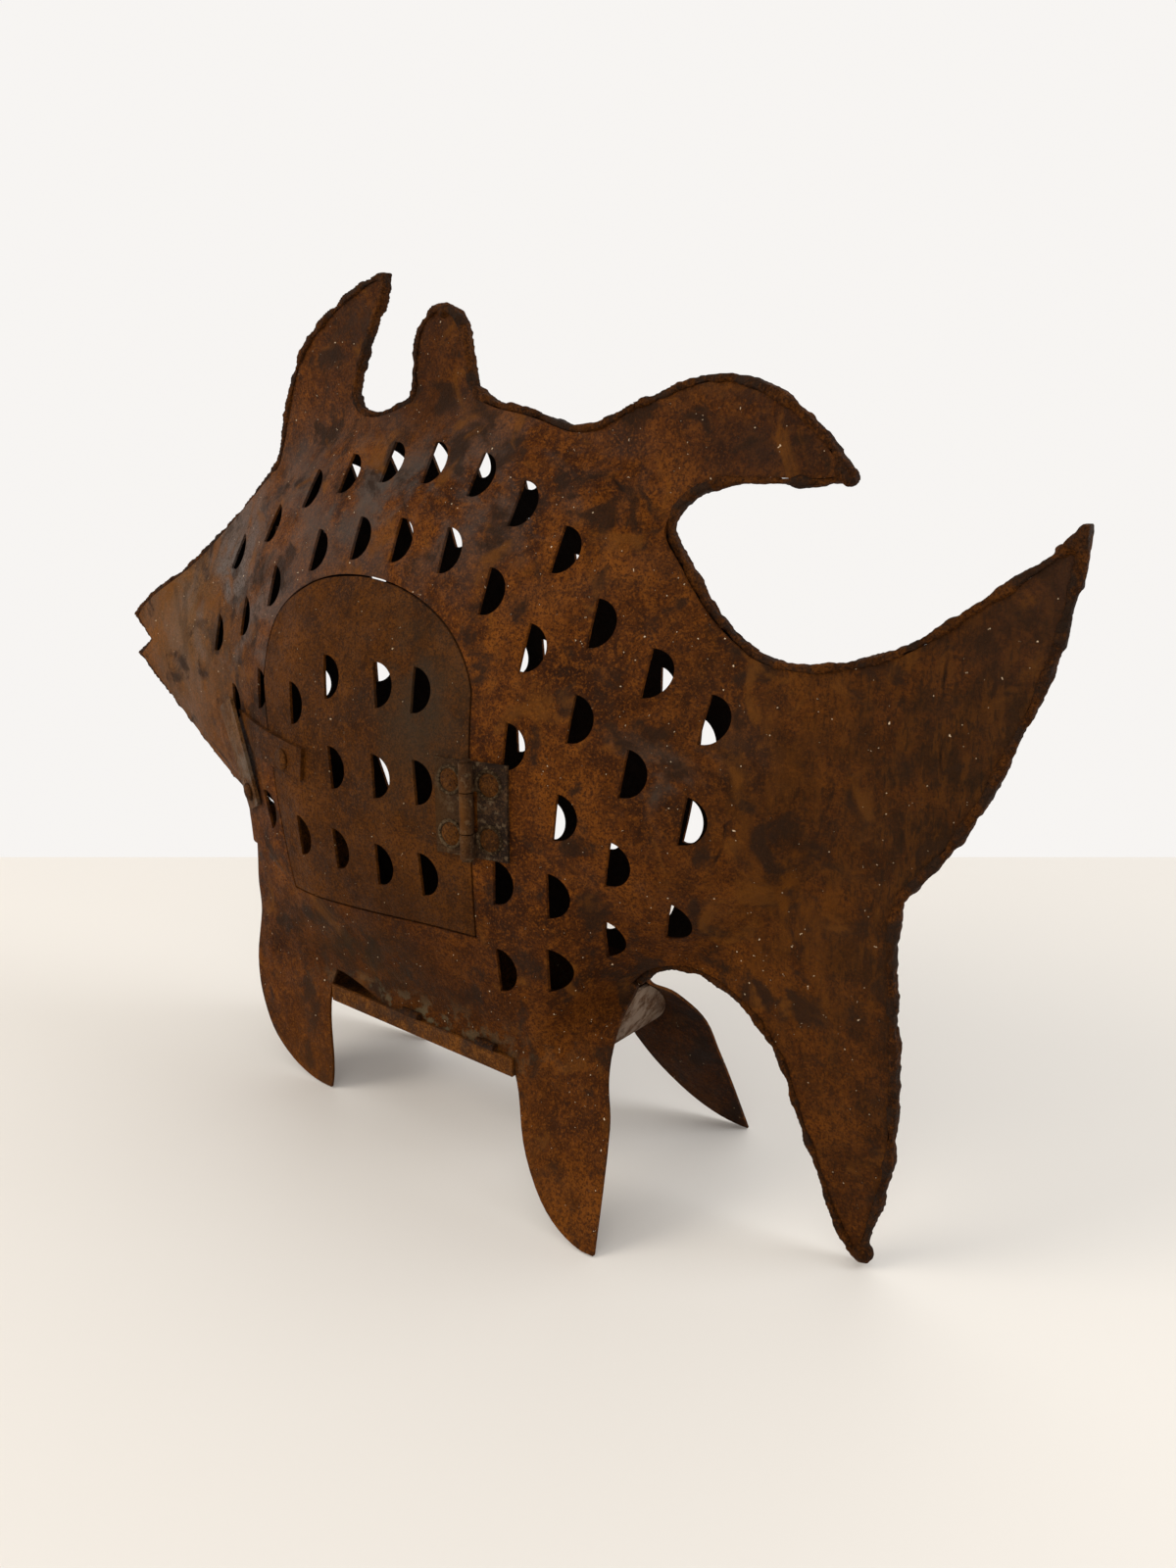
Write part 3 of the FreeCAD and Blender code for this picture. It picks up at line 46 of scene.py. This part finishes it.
# The view: the lantern stands a little to the left and is seen from behind its tail,
# from a height of about 20 cm.
bpy.ops.object.camera_add(location=(0.261, -0.274, 0.21),
                          rotation=(math.radians(76.2), 0.0, math.radians(37.6)))
camera = bpy.context.object
camera.name = "view_from_tail"
camera.data.sensor_fit = "VERTICAL"
camera.data.sensor_height = 36.0
camera.data.lens = 26.55
camera.data.clip_start = 0.01
bpy.context.scene.camera = camera

# The table top: a plain pale surface that carries the lantern's shadow.
# Its far edge lies about 65 cm from the eye, where the white room begins.
bpy.ops.mesh.primitive_plane_add(size=4.0, location=(1.072, -1.327, -0.0005),
                                 rotation=(0.0, 0.0, math.radians(37.6)))
table_top = bpy.context.object
table_top.name = "table_top"
bpy.ops.object.transform_apply(location=True, rotation=True, scale=True)
pale = bpy.data.materials.new("pale_table")
pale.use_nodes = True
pale_shader = pale.node_tree.nodes["Principled BSDF"]
pale_shader.inputs["Base Color"].default_value = (0.78, 0.74, 0.69, 1.0)
pale_shader.inputs["Roughness"].default_value = 0.55
table_top.data.materials.append(pale)

# Soft room light: warm from the left, cooler from behind on the right, and a white
# room around it that also shows in the reflections.
bpy.context.scene.view_settings.view_transform = "Standard"


def soft_light(name, place, aim, width, power, colour):
    turn = (Vector(aim) - Vector(place)).to_track_quat("-Z", "Y").to_euler()
    bpy.ops.object.light_add(type="AREA", location=place, rotation=turn)
    lamp = bpy.context.object
    lamp.name = name
    lamp.data.shape = "DISK"
    lamp.data.size = width
    lamp.data.energy = power
    lamp.data.color = colour


soft_light("window_left", (-1.1, -1.3, 1.2), (0.0, 0.0, 0.12), 1.1, 17.0, (1.0, 0.94, 0.85))
soft_light("window_right", (1.2, 0.5, 1.1), (0.0, 0.0, 0.12), 0.9, 8.0, (0.90, 0.95, 1.0))
soft_light("room_front", (0.9, -1.2, 0.6), (0.0, 0.0, 0.1), 1.2, 4.0, (1.0, 0.98, 0.95))

room = bpy.data.worlds.new("room")
bpy.context.scene.world = room
room.use_nodes = True
air = room.node_tree
air.nodes.clear()
air_out = air.nodes.new("ShaderNodeOutputWorld")
seen = air.nodes.new("ShaderNodeBackground")
seen.inputs["Color"].default_value = (0.93, 0.91, 0.89, 1.0)
seen.inputs["Strength"].default_value = 1.0
lit = air.nodes.new("ShaderNodeBackground")
lit.inputs["Color"].default_value = (1.0, 0.98, 0.95, 1.0)
lit.inputs["Strength"].default_value = 0.8
path = air.nodes.new("ShaderNodeLightPath")
either = air.nodes.new("ShaderNodeMath")
either.operation = "MAXIMUM"
any_sight = air.nodes.new("ShaderNodeMath")
any_sight.operation = "MAXIMUM"
choose = air.nodes.new("ShaderNodeMixShader")
air.links.new(path.outputs["Is Camera Ray"], either.inputs[0])
air.links.new(path.outputs["Is Glossy Ray"], either.inputs[1])
air.links.new(either.outputs[0], any_sight.inputs[0])
air.links.new(path.outputs["Is Transmission Ray"], any_sight.inputs[1])
air.links.new(any_sight.outputs[0], choose.inputs["Fac"])
air.links.new(lit.outputs[0], choose.inputs[1])
air.links.new(seen.outputs[0], choose.inputs[2])
air.links.new(choose.outputs[0], air_out.inputs["Surface"])

# The two side sheets: sheet iron, dished over a form and left to rust. Red-brown rust
# lies over the sheet, with pits and bright specks, and blue-grey painted reflection on the upper
# rows.


class Finish:
    """A rusted iron material, built up coat by coat."""

    def __init__(self, name, roughness):
        self.material = bpy.data.materials.new(name)
        self.material.use_nodes = True
        self.tree = self.material.node_tree
        self.shader = self.tree.nodes["Principled BSDF"]
        self.shader.inputs["Specular IOR Level"].default_value = 0.06
        self.place = self.tree.nodes.new("ShaderNodeTexCoord").outputs["Object"]
        self.colour = None
        self.height = None
        self.shine(roughness)

    def shine(self, roughness):
        """Roughness that wanders a little round its middle."""
        patch = self.patch(90.0, 5.0, 0.3, 0.7)
        spread = self.tree.nodes.new("ShaderNodeMapRange")
        spread.inputs["To Min"].default_value = roughness - 0.12
        spread.inputs["To Max"].default_value = min(roughness + 0.12, 1.0)
        self.tree.links.new(patch, spread.inputs["Value"])
        self.tree.links.new(spread.outputs["Result"], self.shader.inputs["Roughness"])

    def stretched(self, scale):
        """Coordinates with a grain, drawn out along one way."""
        mapping = self.tree.nodes.new("ShaderNodeMapping")
        mapping.inputs["Scale"].default_value = scale
        self.tree.links.new(self.place, mapping.inputs["Vector"])
        return mapping.outputs["Vector"]

    def noise(self, scale, detail=6.0, rough=0.6, place=None, twist=0.0):
        node = self.tree.nodes.new("ShaderNodeTexNoise")
        node.inputs["Scale"].default_value = scale
        node.inputs["Detail"].default_value = detail
        node.inputs["Roughness"].default_value = rough
        node.inputs["Distortion"].default_value = twist
        self.tree.links.new(place or self.place, node.inputs["Vector"])
        return node.outputs["Fac"]

    def patch(self, scale, detail, low, high, place=None, twist=0.0, rough=0.6):
        """Noise cut down to patches: 0 below low and 1 above high."""
        cut = self.tree.nodes.new("ShaderNodeMapRange")
        cut.interpolation_type = "SMOOTHSTEP"
        cut.inputs["From Min"].default_value = low
        cut.inputs["From Max"].default_value = high
        self.tree.links.new(self.noise(scale, detail, rough, place, twist), cut.inputs["Value"])
        return cut.outputs["Result"]

    def near(self, centre, radii, turn=0.0):
        """1 at a place and 0 outside an egg-shaped zone round it."""
        mapping = self.tree.nodes.new("ShaderNodeMapping")
        mapping.vector_type = "TEXTURE"
        mapping.inputs["Location"].default_value = centre
        mapping.inputs["Rotation"].default_value = (0.0, turn, 0.0)
        mapping.inputs["Scale"].default_value = radii
        ball = self.tree.nodes.new("ShaderNodeTexGradient")
        ball.gradient_type = "QUADRATIC_SPHERE"
        self.tree.links.new(self.place, mapping.inputs["Vector"])
        self.tree.links.new(mapping.outputs["Vector"], ball.inputs["Vector"])
        return ball.outputs["Fac"]

    def line(self, start, end, width):
        """1 along a narrow line between two places (x, z), on both sides."""
        run = end[0] - start[0]
        rise = end[1] - start[1]
        middle = ((start[0] + end[0]) / 2, 0.0, (start[1] + end[1]) / 2)
        radii = (math.hypot(run, rise) / 2, 0.2, width)
        return self.near(middle, radii, turn=-math.atan2(rise, run))

    def inside(self):
        """1 on the faces that look towards the seam plane, 0 outside."""
        seam_gap = 0.002
        tray_level = 0.06
        below_tray = 0.62
        coordinates = self.tree.nodes.new("ShaderNodeTexCoord")
        facing = self.tree.nodes.new("ShaderNodeSeparateXYZ")
        stands = self.tree.nodes.new("ShaderNodeSeparateXYZ")
        self.tree.links.new(coordinates.outputs["Normal"], facing.inputs["Vector"])
        self.tree.links.new(coordinates.outputs["Object"], stands.inputs["Vector"])
        outward = self.maths("MULTIPLY", facing.outputs["Y"], stands.outputs["Y"])
        test = self.maths("LESS_THAN", outward, -seam_gap)
        share = self.tree.nodes.new("ShaderNodeMapRange")
        share.inputs["To Min"].default_value = below_tray
        above_tray = self.maths("GREATER_THAN", stands.outputs["Z"], tray_level)
        self.tree.links.new(above_tray, share.inputs["Value"])
        return self.times(test, share.outputs["Result"])

    def maths(self, operation, first, second):
        node = self.tree.nodes.new("ShaderNodeMath")
        node.operation = operation
        for socket, value in zip(node.inputs, (first, second)):
            if isinstance(value, float):
                socket.default_value = value
            else:
                self.tree.links.new(value, socket)
        return node.outputs[0]

    def times(self, first, second):
        """Two masks together, kept within 0 and 1."""
        product = self.maths("MULTIPLY", first, second)
        product.node.use_clamp = True
        return product

    def base(self, scale, stops):
        """First coat: a colour ramp over broad noise."""
        ramp = self.tree.nodes.new("ShaderNodeValToRGB")
        ramp.color_ramp.elements[0].position = stops[0][0]
        ramp.color_ramp.elements[0].color = stops[0][1] + (1.0,)
        ramp.color_ramp.elements[1].position = stops[-1][0]
        ramp.color_ramp.elements[1].color = stops[-1][1] + (1.0,)
        for position, colour in stops[1:-1]:
            ramp.color_ramp.elements.new(position).color = colour + (1.0,)
        self.tree.links.new(self.noise(scale, 9.0, 0.66, twist=0.4), ramp.inputs["Fac"])
        self.colour = ramp.outputs["Color"]

    def coat(self, mask, colour):
        """Another colour laid over what is there, where the mask is 1."""
        mix = self.tree.nodes.new("ShaderNodeMix")
        mix.data_type = "RGBA"
        self.tree.links.new(mask, mix.inputs["Factor"])
        self.tree.links.new(self.colour, mix.inputs["A"])
        mix.inputs["B"].default_value = colour + (1.0,)
        self.colour = mix.outputs["Result"]

    def wash(self, colour, strength, centre, radii):
        """A thin coat within one zone."""
        self.coat(self.times(self.near(centre, radii), strength), colour)

    def blotch(self, colour, zone, scale, detail, low, high, **how):
        """Patches of a colour within a zone or at an even strength."""
        self.coat(self.times(self.patch(scale, detail, low, high, **how), zone), colour)

    def relief(self, source, distance):
        """Raise or sink the surface by a mask or noise, in metres."""
        bump = self.tree.nodes.new("ShaderNodeBump")
        bump.inputs["Distance"].default_value = distance
        self.tree.links.new(source, bump.inputs["Height"])
        if self.height:
            self.tree.links.new(self.height, bump.inputs["Normal"])
        self.height = bump.outputs["Normal"]

    def done(self):
        self.tree.links.new(self.colour, self.shader.inputs["Base Color"])
        self.tree.links.new(self.height, self.shader.inputs["Normal"])
        return self.material


def rust(name, roughness, deep, middle, bright):
    """The coats that every rusted piece shares."""
    finish = Finish(name, roughness)
    finish.base(34.0, ((0.34, deep), (0.5, middle), (0.66, bright)))
    finish.blotch(deep, 0.65, 120.0, 9.0, 0.48, 0.66)
    finish.blotch(bright, 0.6, 330.0, 8.0, 0.50, 0.64)
    finish.blotch(deep, 0.55, 760.0, 6.0, 0.48, 0.62)
    finish.blotch(bright, 0.55, 1150.0, 3.0, 0.53, 0.62)
    finish.blotch(deep, 0.70, 1400.0, 3.0, 0.52, 0.60)
    finish.relief(finish.noise(1300.0, 4.0, 0.7), 0.0006)
    finish.relief(finish.noise(320.0, 6.0, 0.7), 0.0010)
    finish.relief(finish.noise(26.0, 2.0, 0.4), 0.004)
    return finish


def dress(nodes, material):
    """Give CAD nodes a material in place of their plain one."""
    for node in nodes:
        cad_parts[node].data.materials.clear()
        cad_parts[node].data.materials.append(material)


# Soot together with painted shade: the near-black laid on the faces that look inwards.
soot_and_shade = (0.009, 0.006, 0.005)
side = rust("rusted_side_sheet", 0.72,
            (0.022, 0.006, 0.001), (0.094, 0.025, 0.002), (0.185, 0.054, 0.005))

# Head and upper rows: a lighter tan wash at the snout, partly painted light of the warm lamp, then
# blue-grey painted reflection of the pale room, with dark scale.
# Partly tan rust and partly painted light: the warm lamp on the upper head is laid in as a lighter
# wash.
side.wash((0.205, 0.098, 0.034), 0.70, (-0.145, 0.0, 0.165), (0.10, 0.3, 0.11))
sheen_and_scale_zone = side.near((-0.105, 0.0, 0.18), (0.12, 0.3, 0.10))
# Painted reflection: a blue-grey sheen on the upper head. The dark patches after it are scale.
side.blotch((0.118, 0.100, 0.090), sheen_and_scale_zone, 30.0, 8.0, 0.42, 0.60, twist=0.8)
side.blotch((0.026, 0.016, 0.011), sheen_and_scale_zone, 46.0, 8.0, 0.52, 0.62, twist=0.8)
side.blotch((0.030, 0.012, 0.004), side.times(sheen_and_scale_zone, 0.8), 1300.0, 3.0, 0.50, 0.60)
# Painted reflection: a blue-grey sheen along the top rows and the rear rows.
upper_rows_sheen_zone = side.near((-0.01, 0.0, 0.212), (0.13, 0.3, 0.05))
side.blotch((0.070, 0.057, 0.048), upper_rows_sheen_zone, 38.0, 8.0, 0.42, 0.58, twist=0.6)
rear_rows_sheen_zone = side.near((0.09, 0.0, 0.13), (0.05, 0.3, 0.05))
side.blotch((0.062, 0.044, 0.032), rear_rows_sheen_zone, 38.0, 8.0, 0.46, 0.64, twist=0.6)

# Tail: painted shade darkens it as the side away from the warm light. Over that, rust is drawn out
# in upright streaks, orange where it joins the body.
tail_zone = side.near((0.175, 0.0, 0.12), (0.13, 0.4, 0.22))
# Painted shade: the tail is darkened as the side turned away from the warm light.
side.coat(side.times(tail_zone, 0.85), (0.032, 0.010, 0.0015))
side.blotch((0.012, 0.006, 0.002), tail_zone, 60.0, 9.0, 0.44, 0.60, twist=0.5)
drawn = side.stretched((1.0, 1.0, 0.30))
side.blotch((0.105, 0.033, 0.003), side.times(tail_zone, 0.9), 330.0, 9.0, 0.50, 0.62, place=drawn)
side.blotch((0.010, 0.005, 0.002), tail_zone, 900.0, 3.0, 0.52, 0.62, place=drawn)
rump_zone = side.near((0.122, 0.0, 0.105), (0.030, 0.3, 0.085))
side.blotch((0.130, 0.040, 0.003), rump_zone, 150.0, 9.0, 0.42, 0.60, place=drawn)
side.wash((0.034, 0.017, 0.011), 0.75, (0.190, 0.0, 0.195), (0.055, 0.3, 0.060))

# Fins: scorched dark by the torch, most under the rear fin.
fin_zone = side.near((0.115, 0.0, 0.240), (0.065, 0.3, 0.045))
side.blotch((0.022, 0.011, 0.007), fin_zone, 55.0, 9.0, 0.38, 0.54, twist=0.9)
side.blotch((0.110, 0.036, 0.006), side.times(fin_zone, 0.7), 300.0, 7.0, 0.54, 0.62)
side.wash((0.018, 0.009, 0.006), 0.8, (0.108, 0.0, 0.222), (0.034, 0.3, 0.018))
side.wash((0.100, 0.036, 0.008), 0.7, (0.090, 0.0, 0.244), (0.030, 0.3, 0.014))
crest_zone = side.near((-0.035, 0.0, 0.262), (0.070, 0.3, 0.034))
side.coat(side.times(crest_zone, 0.9), (0.032, 0.013, 0.006))
side.blotch((0.030, 0.016, 0.010), crest_zone, 90.0, 9.0, 0.44, 0.60, twist=0.6)

# Belly and legs: painted shade darkens the belly where the sheet turns under, brighter rust on the
# legs, grey scale along the tray.
side.wash((0.024, 0.007, 0.0006), 0.85, (-0.01, 0.0, 0.060), (0.15, 0.3, 0.055))
side.wash((0.032, 0.010, 0.002), 0.7, (-0.01, 0.0, 0.238), (0.05, 0.3, 0.03))
side.blotch((0.020, 0.009, 0.004), 0.85, 75.0, 9.0, 0.52, 0.64, twist=0.4)
side.blotch((0.150, 0.050, 0.006), 0.6, 52.0, 9.0, 0.56, 0.68, twist=0.8)
# Painted shade keeps the tail darker than the broad patches that lie over the whole sheet.
side.coat(side.times(tail_zone, 0.5), (0.034, 0.014, 0.005))
leg_zone = side.near((-0.01, 0.0, 0.000), (0.14, 0.3, 0.062))
side.coat(side.times(leg_zone, 0.80), (0.100, 0.033, 0.004))
side.blotch((0.040, 0.013, 0.002), side.times(leg_zone, 0.6), 1250.0, 3.0, 0.50, 0.60)
throat_zone = side.near((-0.030, 0.0, 0.062), (0.070, 0.3, 0.026))
side.blotch((0.024, 0.014, 0.006), throat_zone, 120.0, 8.0, 0.34, 0.56)
scale_zone = side.near((0.000, 0.0, 0.043), (0.085, 0.3, 0.016))
side.blotch((0.105, 0.082, 0.045), scale_zone, 190.0, 8.0, 0.50, 0.60)

# Marks of the making: scratches and small cracks, the crease below the strap with a painted
# highlight on its ridge and a painted shadow in the gap at the door's lower corner, bright specks,
# the struck eye, and soot with painted shade on the inner faces.
for start, end, width in (((0.1068, 0.1285), (0.1068, 0.1185), 0.0006),
                          ((0.1070, 0.1200), (0.1030, 0.1108), 0.0006),
                          ((0.0590, 0.2185), (0.0680, 0.2100), 0.0007),
                          ((0.1603, 0.1820), (0.1593, 0.1550), 0.0008),
                          ((0.1593, 0.1570), (0.1612, 0.1400), 0.0007)):
    mark = side.line(start, end, width)
    side.coat(side.times(mark, 0.8), (0.010, 0.005, 0.003))
    side.relief(mark, -0.0008)
crease = side.line((-0.079, 0.0886), (-0.0565, 0.0785), 0.0016)
side.relief(crease, 0.0016)
# Painted highlight: a lighter line along the ridge of the crease.
side.coat(side.times(crease, 0.35), (0.16, 0.10, 0.055))
# Painted shadow: a near-black spot for the gap at the door's lower-left corner.
side.coat(side.near((-0.0560, -0.0302, 0.0780), (0.0018, 0.006, 0.0030)), (0.004, 0.002, 0.001))
side.coat(side.patch(700.0, 2.0, 0.735, 0.75), (0.62, 0.46, 0.30))
eye = side.near((-0.1310, -0.0089, 0.1722), (0.0098, 0.05, 0.0080))
side.relief(eye, -0.0024)
side.coat(side.times(eye, 0.45), (0.055, 0.024, 0.010))
# Soot and painted shade on the inner faces, weaker below the tray.
side.coat(side.times(side.inside(), 0.93), soot_and_shade)
side_sheet = side.done()
dress(("near_side_shell", "far_side_shell"), side_sheet)

# The door: cut from the same sheet, handled more, so its rust is smoother and more
# orange, with darker skin at its hinge side.
leaf = rust("rusted_door_sheet", 0.68,
            (0.022, 0.007, 0.001), (0.068, 0.020, 0.001), (0.118, 0.036, 0.003))
hinge_zone = leaf.near((0.012, -0.034, 0.150), (0.045, 0.1, 0.065))
leaf.blotch((0.034, 0.022, 0.012), hinge_zone, 50.0, 8.0, 0.38, 0.6)
leaf.wash((0.026, 0.008, 0.0006), 0.55, (0.0, -0.03, 0.085), (0.07, 0.1, 0.03))
leaf.coat(leaf.patch(700.0, 2.0, 0.745, 0.76), (0.5, 0.36, 0.22))
# Soot and painted shade on the door's inner face.
leaf.coat(leaf.times(leaf.inside(), 0.90), soot_and_shade)
door_sheet = leaf.done()
dress(("door", "latch_tongue"), door_sheet)

# The tray and the candle cup: the same iron, sooty and dull orange where they show.
tray = rust("rusted_tray_sheet", 0.75,
            (0.040, 0.013, 0.002), (0.125, 0.040, 0.005), (0.210, 0.074, 0.011))
tray.blotch((0.03, 0.02, 0.015), 0.6, 90.0, 6.0, 0.45, 0.65)
tray_sheet = tray.done()
dress(("floor_tray", "candle_cup", "front_belly_plate"), tray_sheet)

# The rear belly plate: a sheet bent up from the tray to the rim, seen behind the legs,
# with pale grey painted light where it faces up towards the lamps.
belly = rust("belly_sheet_painted_light", 0.8,
             (0.040, 0.018, 0.009), (0.100, 0.050, 0.026), (0.200, 0.120, 0.075))
# Painted light: pale grey patches where the plate faces up into the light.
belly.blotch((0.230, 0.165, 0.120), 0.8, 160.0, 7.0, 0.40, 0.6)
belly_sheet = belly.done()
dress(("rear_belly_plate",), belly_sheet)

# The hinge: a bought steel butt hinge, dark, with pale crust on its leaves and orange
# rust on the knuckles.
steel = rust("old_hinge_steel", 0.66,
             (0.010, 0.005, 0.003), (0.036, 0.019, 0.010), (0.075, 0.036, 0.014))
steel.blotch((0.120, 0.078, 0.042), 0.65, 420.0, 7.0, 0.54, 0.63)
steel.wash((0.050, 0.020, 0.004), 1.0, (0.019, -0.033, 0.1208), (0.018, 0.03, 0.040))
knuckle_zone = steel.near((0.0314, -0.0365, 0.1208), (0.0042, 0.006, 0.03))
steel.blotch((0.110, 0.038, 0.005), knuckle_zone, 300.0, 5.0, 0.25, 0.5)
hinge_steel = steel.done()
dress(("door_hinge_leaf", "body_hinge_leaf", "hinge_pin"), hinge_steel)

# Rivets: soft iron, hammered over, darker than the sheet.
iron = rust("rivet_iron", 0.66,
            (0.018, 0.006, 0.001), (0.062, 0.020, 0.002), (0.120, 0.040, 0.005))
iron.relief(iron.noise(420.0, 2.0, 0.5), 0.0012)
rivet_iron = iron.done()
dress(("door_leaf_rivets", "body_leaf_rivets", "latch_tongue_rivet", "latch_strap_rivet"),
      rivet_iron)

# Crust rings: rust and old paint gathered round each hinge rivet as a thin pale ring.
crust = rust("crust_rings", 0.85,
             (0.012, 0.006, 0.002), (0.045, 0.025, 0.011), (0.130, 0.085, 0.045))
crust_iron = crust.done()
rivet_inset = 0.0042
rivet_reach = 0.004
head_height = 0.0011
ring_seat = 0.0013
for node, body in (("door_leaf_rivets", "lantern_door"), ("body_leaf_rivets", "lantern_body")):
    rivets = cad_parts[node]
    low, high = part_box(node)
    for level in (low[2] + rivet_inset, high[2] - rivet_inset):
        near = [v.co for v in rivets.data.vertices if abs(v.co.z - level) < rivet_reach]
        head = min(near, key=lambda spot: spot.y)
        across_head = [spot for spot in near if spot.y < head.y + head_height]
        middle = Vector((sum(spot.x for spot in across_head) / len(across_head), 0.0,
                         (min(s.z for s in across_head) + max(s.z for s in across_head)) / 2))
        lean = 0.10 if node == "door_leaf_rivets" else 0.16
        bpy.ops.mesh.primitive_torus_add(major_radius=0.00405, minor_radius=0.00045,
                                         major_segments=48, minor_segments=8,
                                         location=(middle.x, head.y + ring_seat, middle.z),
                                         rotation=(math.pi / 2, 0.0, lean))
        ring = bpy.context.object
        ring.name = "crust_ring_%s_%d" % (body[8:], round(level * 1000))
        bpy.ops.object.transform_apply(location=True, rotation=True, scale=True)
        wobble = ring.modifiers.new("wobble", "DISPLACE")
        wobble.strength = 0.0003
        bpy.ops.object.modifier_apply(modifier="wobble")
        bpy.ops.object.shade_smooth()
        ring.data.materials.append(crust_iron)
        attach(ring, body)

# The latch strap: a plain plate with grey worn skin and rusty corners.
plate = rust("latch_plate", 0.66,
             (0.034, 0.013, 0.003), (0.092, 0.036, 0.009), (0.160, 0.072, 0.024))
plate.blotch((0.150, 0.110, 0.075), 0.5, 120.0, 6.0, 0.46, 0.64)
latch_plate = plate.done()
dress(("latch_strap",), latch_plate)

# Weld beads: the rims of the two sheets melted together with a torch, so the bead is
# lumpy and ragged, dark and scaly, with a drop at each tail tip.
bead = rust("melted_rim", 0.7,
            (0.012, 0.004, 0.001), (0.048, 0.014, 0.001), (0.105, 0.032, 0.004))
bead.blotch((0.018, 0.010, 0.006), 0.8, 110.0, 7.0, 0.46, 0.6)
bead.relief(bead.noise(380.0, 3.0, 0.6), 0.0016)
bead_iron = bead.done()

lumps = bpy.data.textures.new("torch_lumps", "CLOUDS")
lumps.noise_scale = 0.0078
lumps.noise_depth = 2
ripples = bpy.data.textures.new("torch_ripples", "CLOUDS")
ripples.noise_scale = 0.0021
ripples.noise_depth = 1


def melted(node, drops):
    """A ragged copy of a plain bead, kept within the bead's own reach."""
    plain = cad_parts[node]
    low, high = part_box(node)
    bpy.ops.object.select_all(action="DESELECT")
    plain.select_set(True)
    bpy.context.view_layer.objects.active = plain
    bpy.ops.object.duplicate()
    ragged = bpy.context.object
    ragged.name = node.replace("_weld", "_melted_rim")
    bpy.ops.object.mode_set(mode="EDIT")
    bpy.ops.mesh.select_all(action="SELECT")
    bpy.ops.mesh.remove_doubles(threshold=0.00001)
    for spot, radius in drops:
        bpy.ops.mesh.primitive_ico_sphere_add(subdivisions=3, radius=radius, location=spot)
    bpy.ops.object.mode_set(mode="OBJECT")
    remesh = ragged.modifiers.new("fine_skin", "REMESH")
    remesh.mode = "VOXEL"
    remesh.voxel_size = 0.0005
    bpy.ops.object.modifier_apply(modifier="fine_skin")
    for name, texture, strength in (("lumps", lumps, 0.0024), ("ripples", ripples, 0.0006)):
        displace = ragged.modifiers.new(name, "DISPLACE")
        displace.texture = texture
        displace.texture_coords = "LOCAL"
        displace.mid_level = 0.40
        displace.strength = strength
        bpy.ops.object.modifier_apply(modifier=name)
    for vertex in ragged.data.vertices:
        vertex.co.x = min(max(vertex.co.x, low[0]), high[0])
        vertex.co.z = min(max(vertex.co.z, low[2]), high[2])
    bpy.ops.object.shade_smooth()
    ragged.data.materials.clear()
    ragged.data.materials.append(bead_iron)
    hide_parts(node)
    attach(ragged, "lantern_body")


front_fin_drops = (((-0.0318, 0.0, 0.2780), 0.0018), ((-0.0050, 0.0, 0.2662), 0.0020))
rear_fin_drops = (((0.1318, 0.0, 0.2155), 0.0021), ((0.1290, 0.0, 0.2170), 0.0018))
tail_drops = (((0.1868, 0.0, 0.2004), 0.0021), ((0.1480, 0.0, 0.0034), 0.0027),
              ((0.1840, 0.0, 0.1990), 0.0018))
for node, drops in (("brow_seam_weld", ()), ("front_fins_weld", front_fin_drops),
                    ("back_seam_weld", ()), ("rear_fin_weld", rear_fin_drops),
                    ("tail_seam_weld", tail_drops), ("chin_seam_weld", ())):
    melted(node, drops)

# Small welds: short lumps run along the tray's flange and round the cup.
dress(("tray_tack_welds", "cup_tack_welds"), bead_iron)
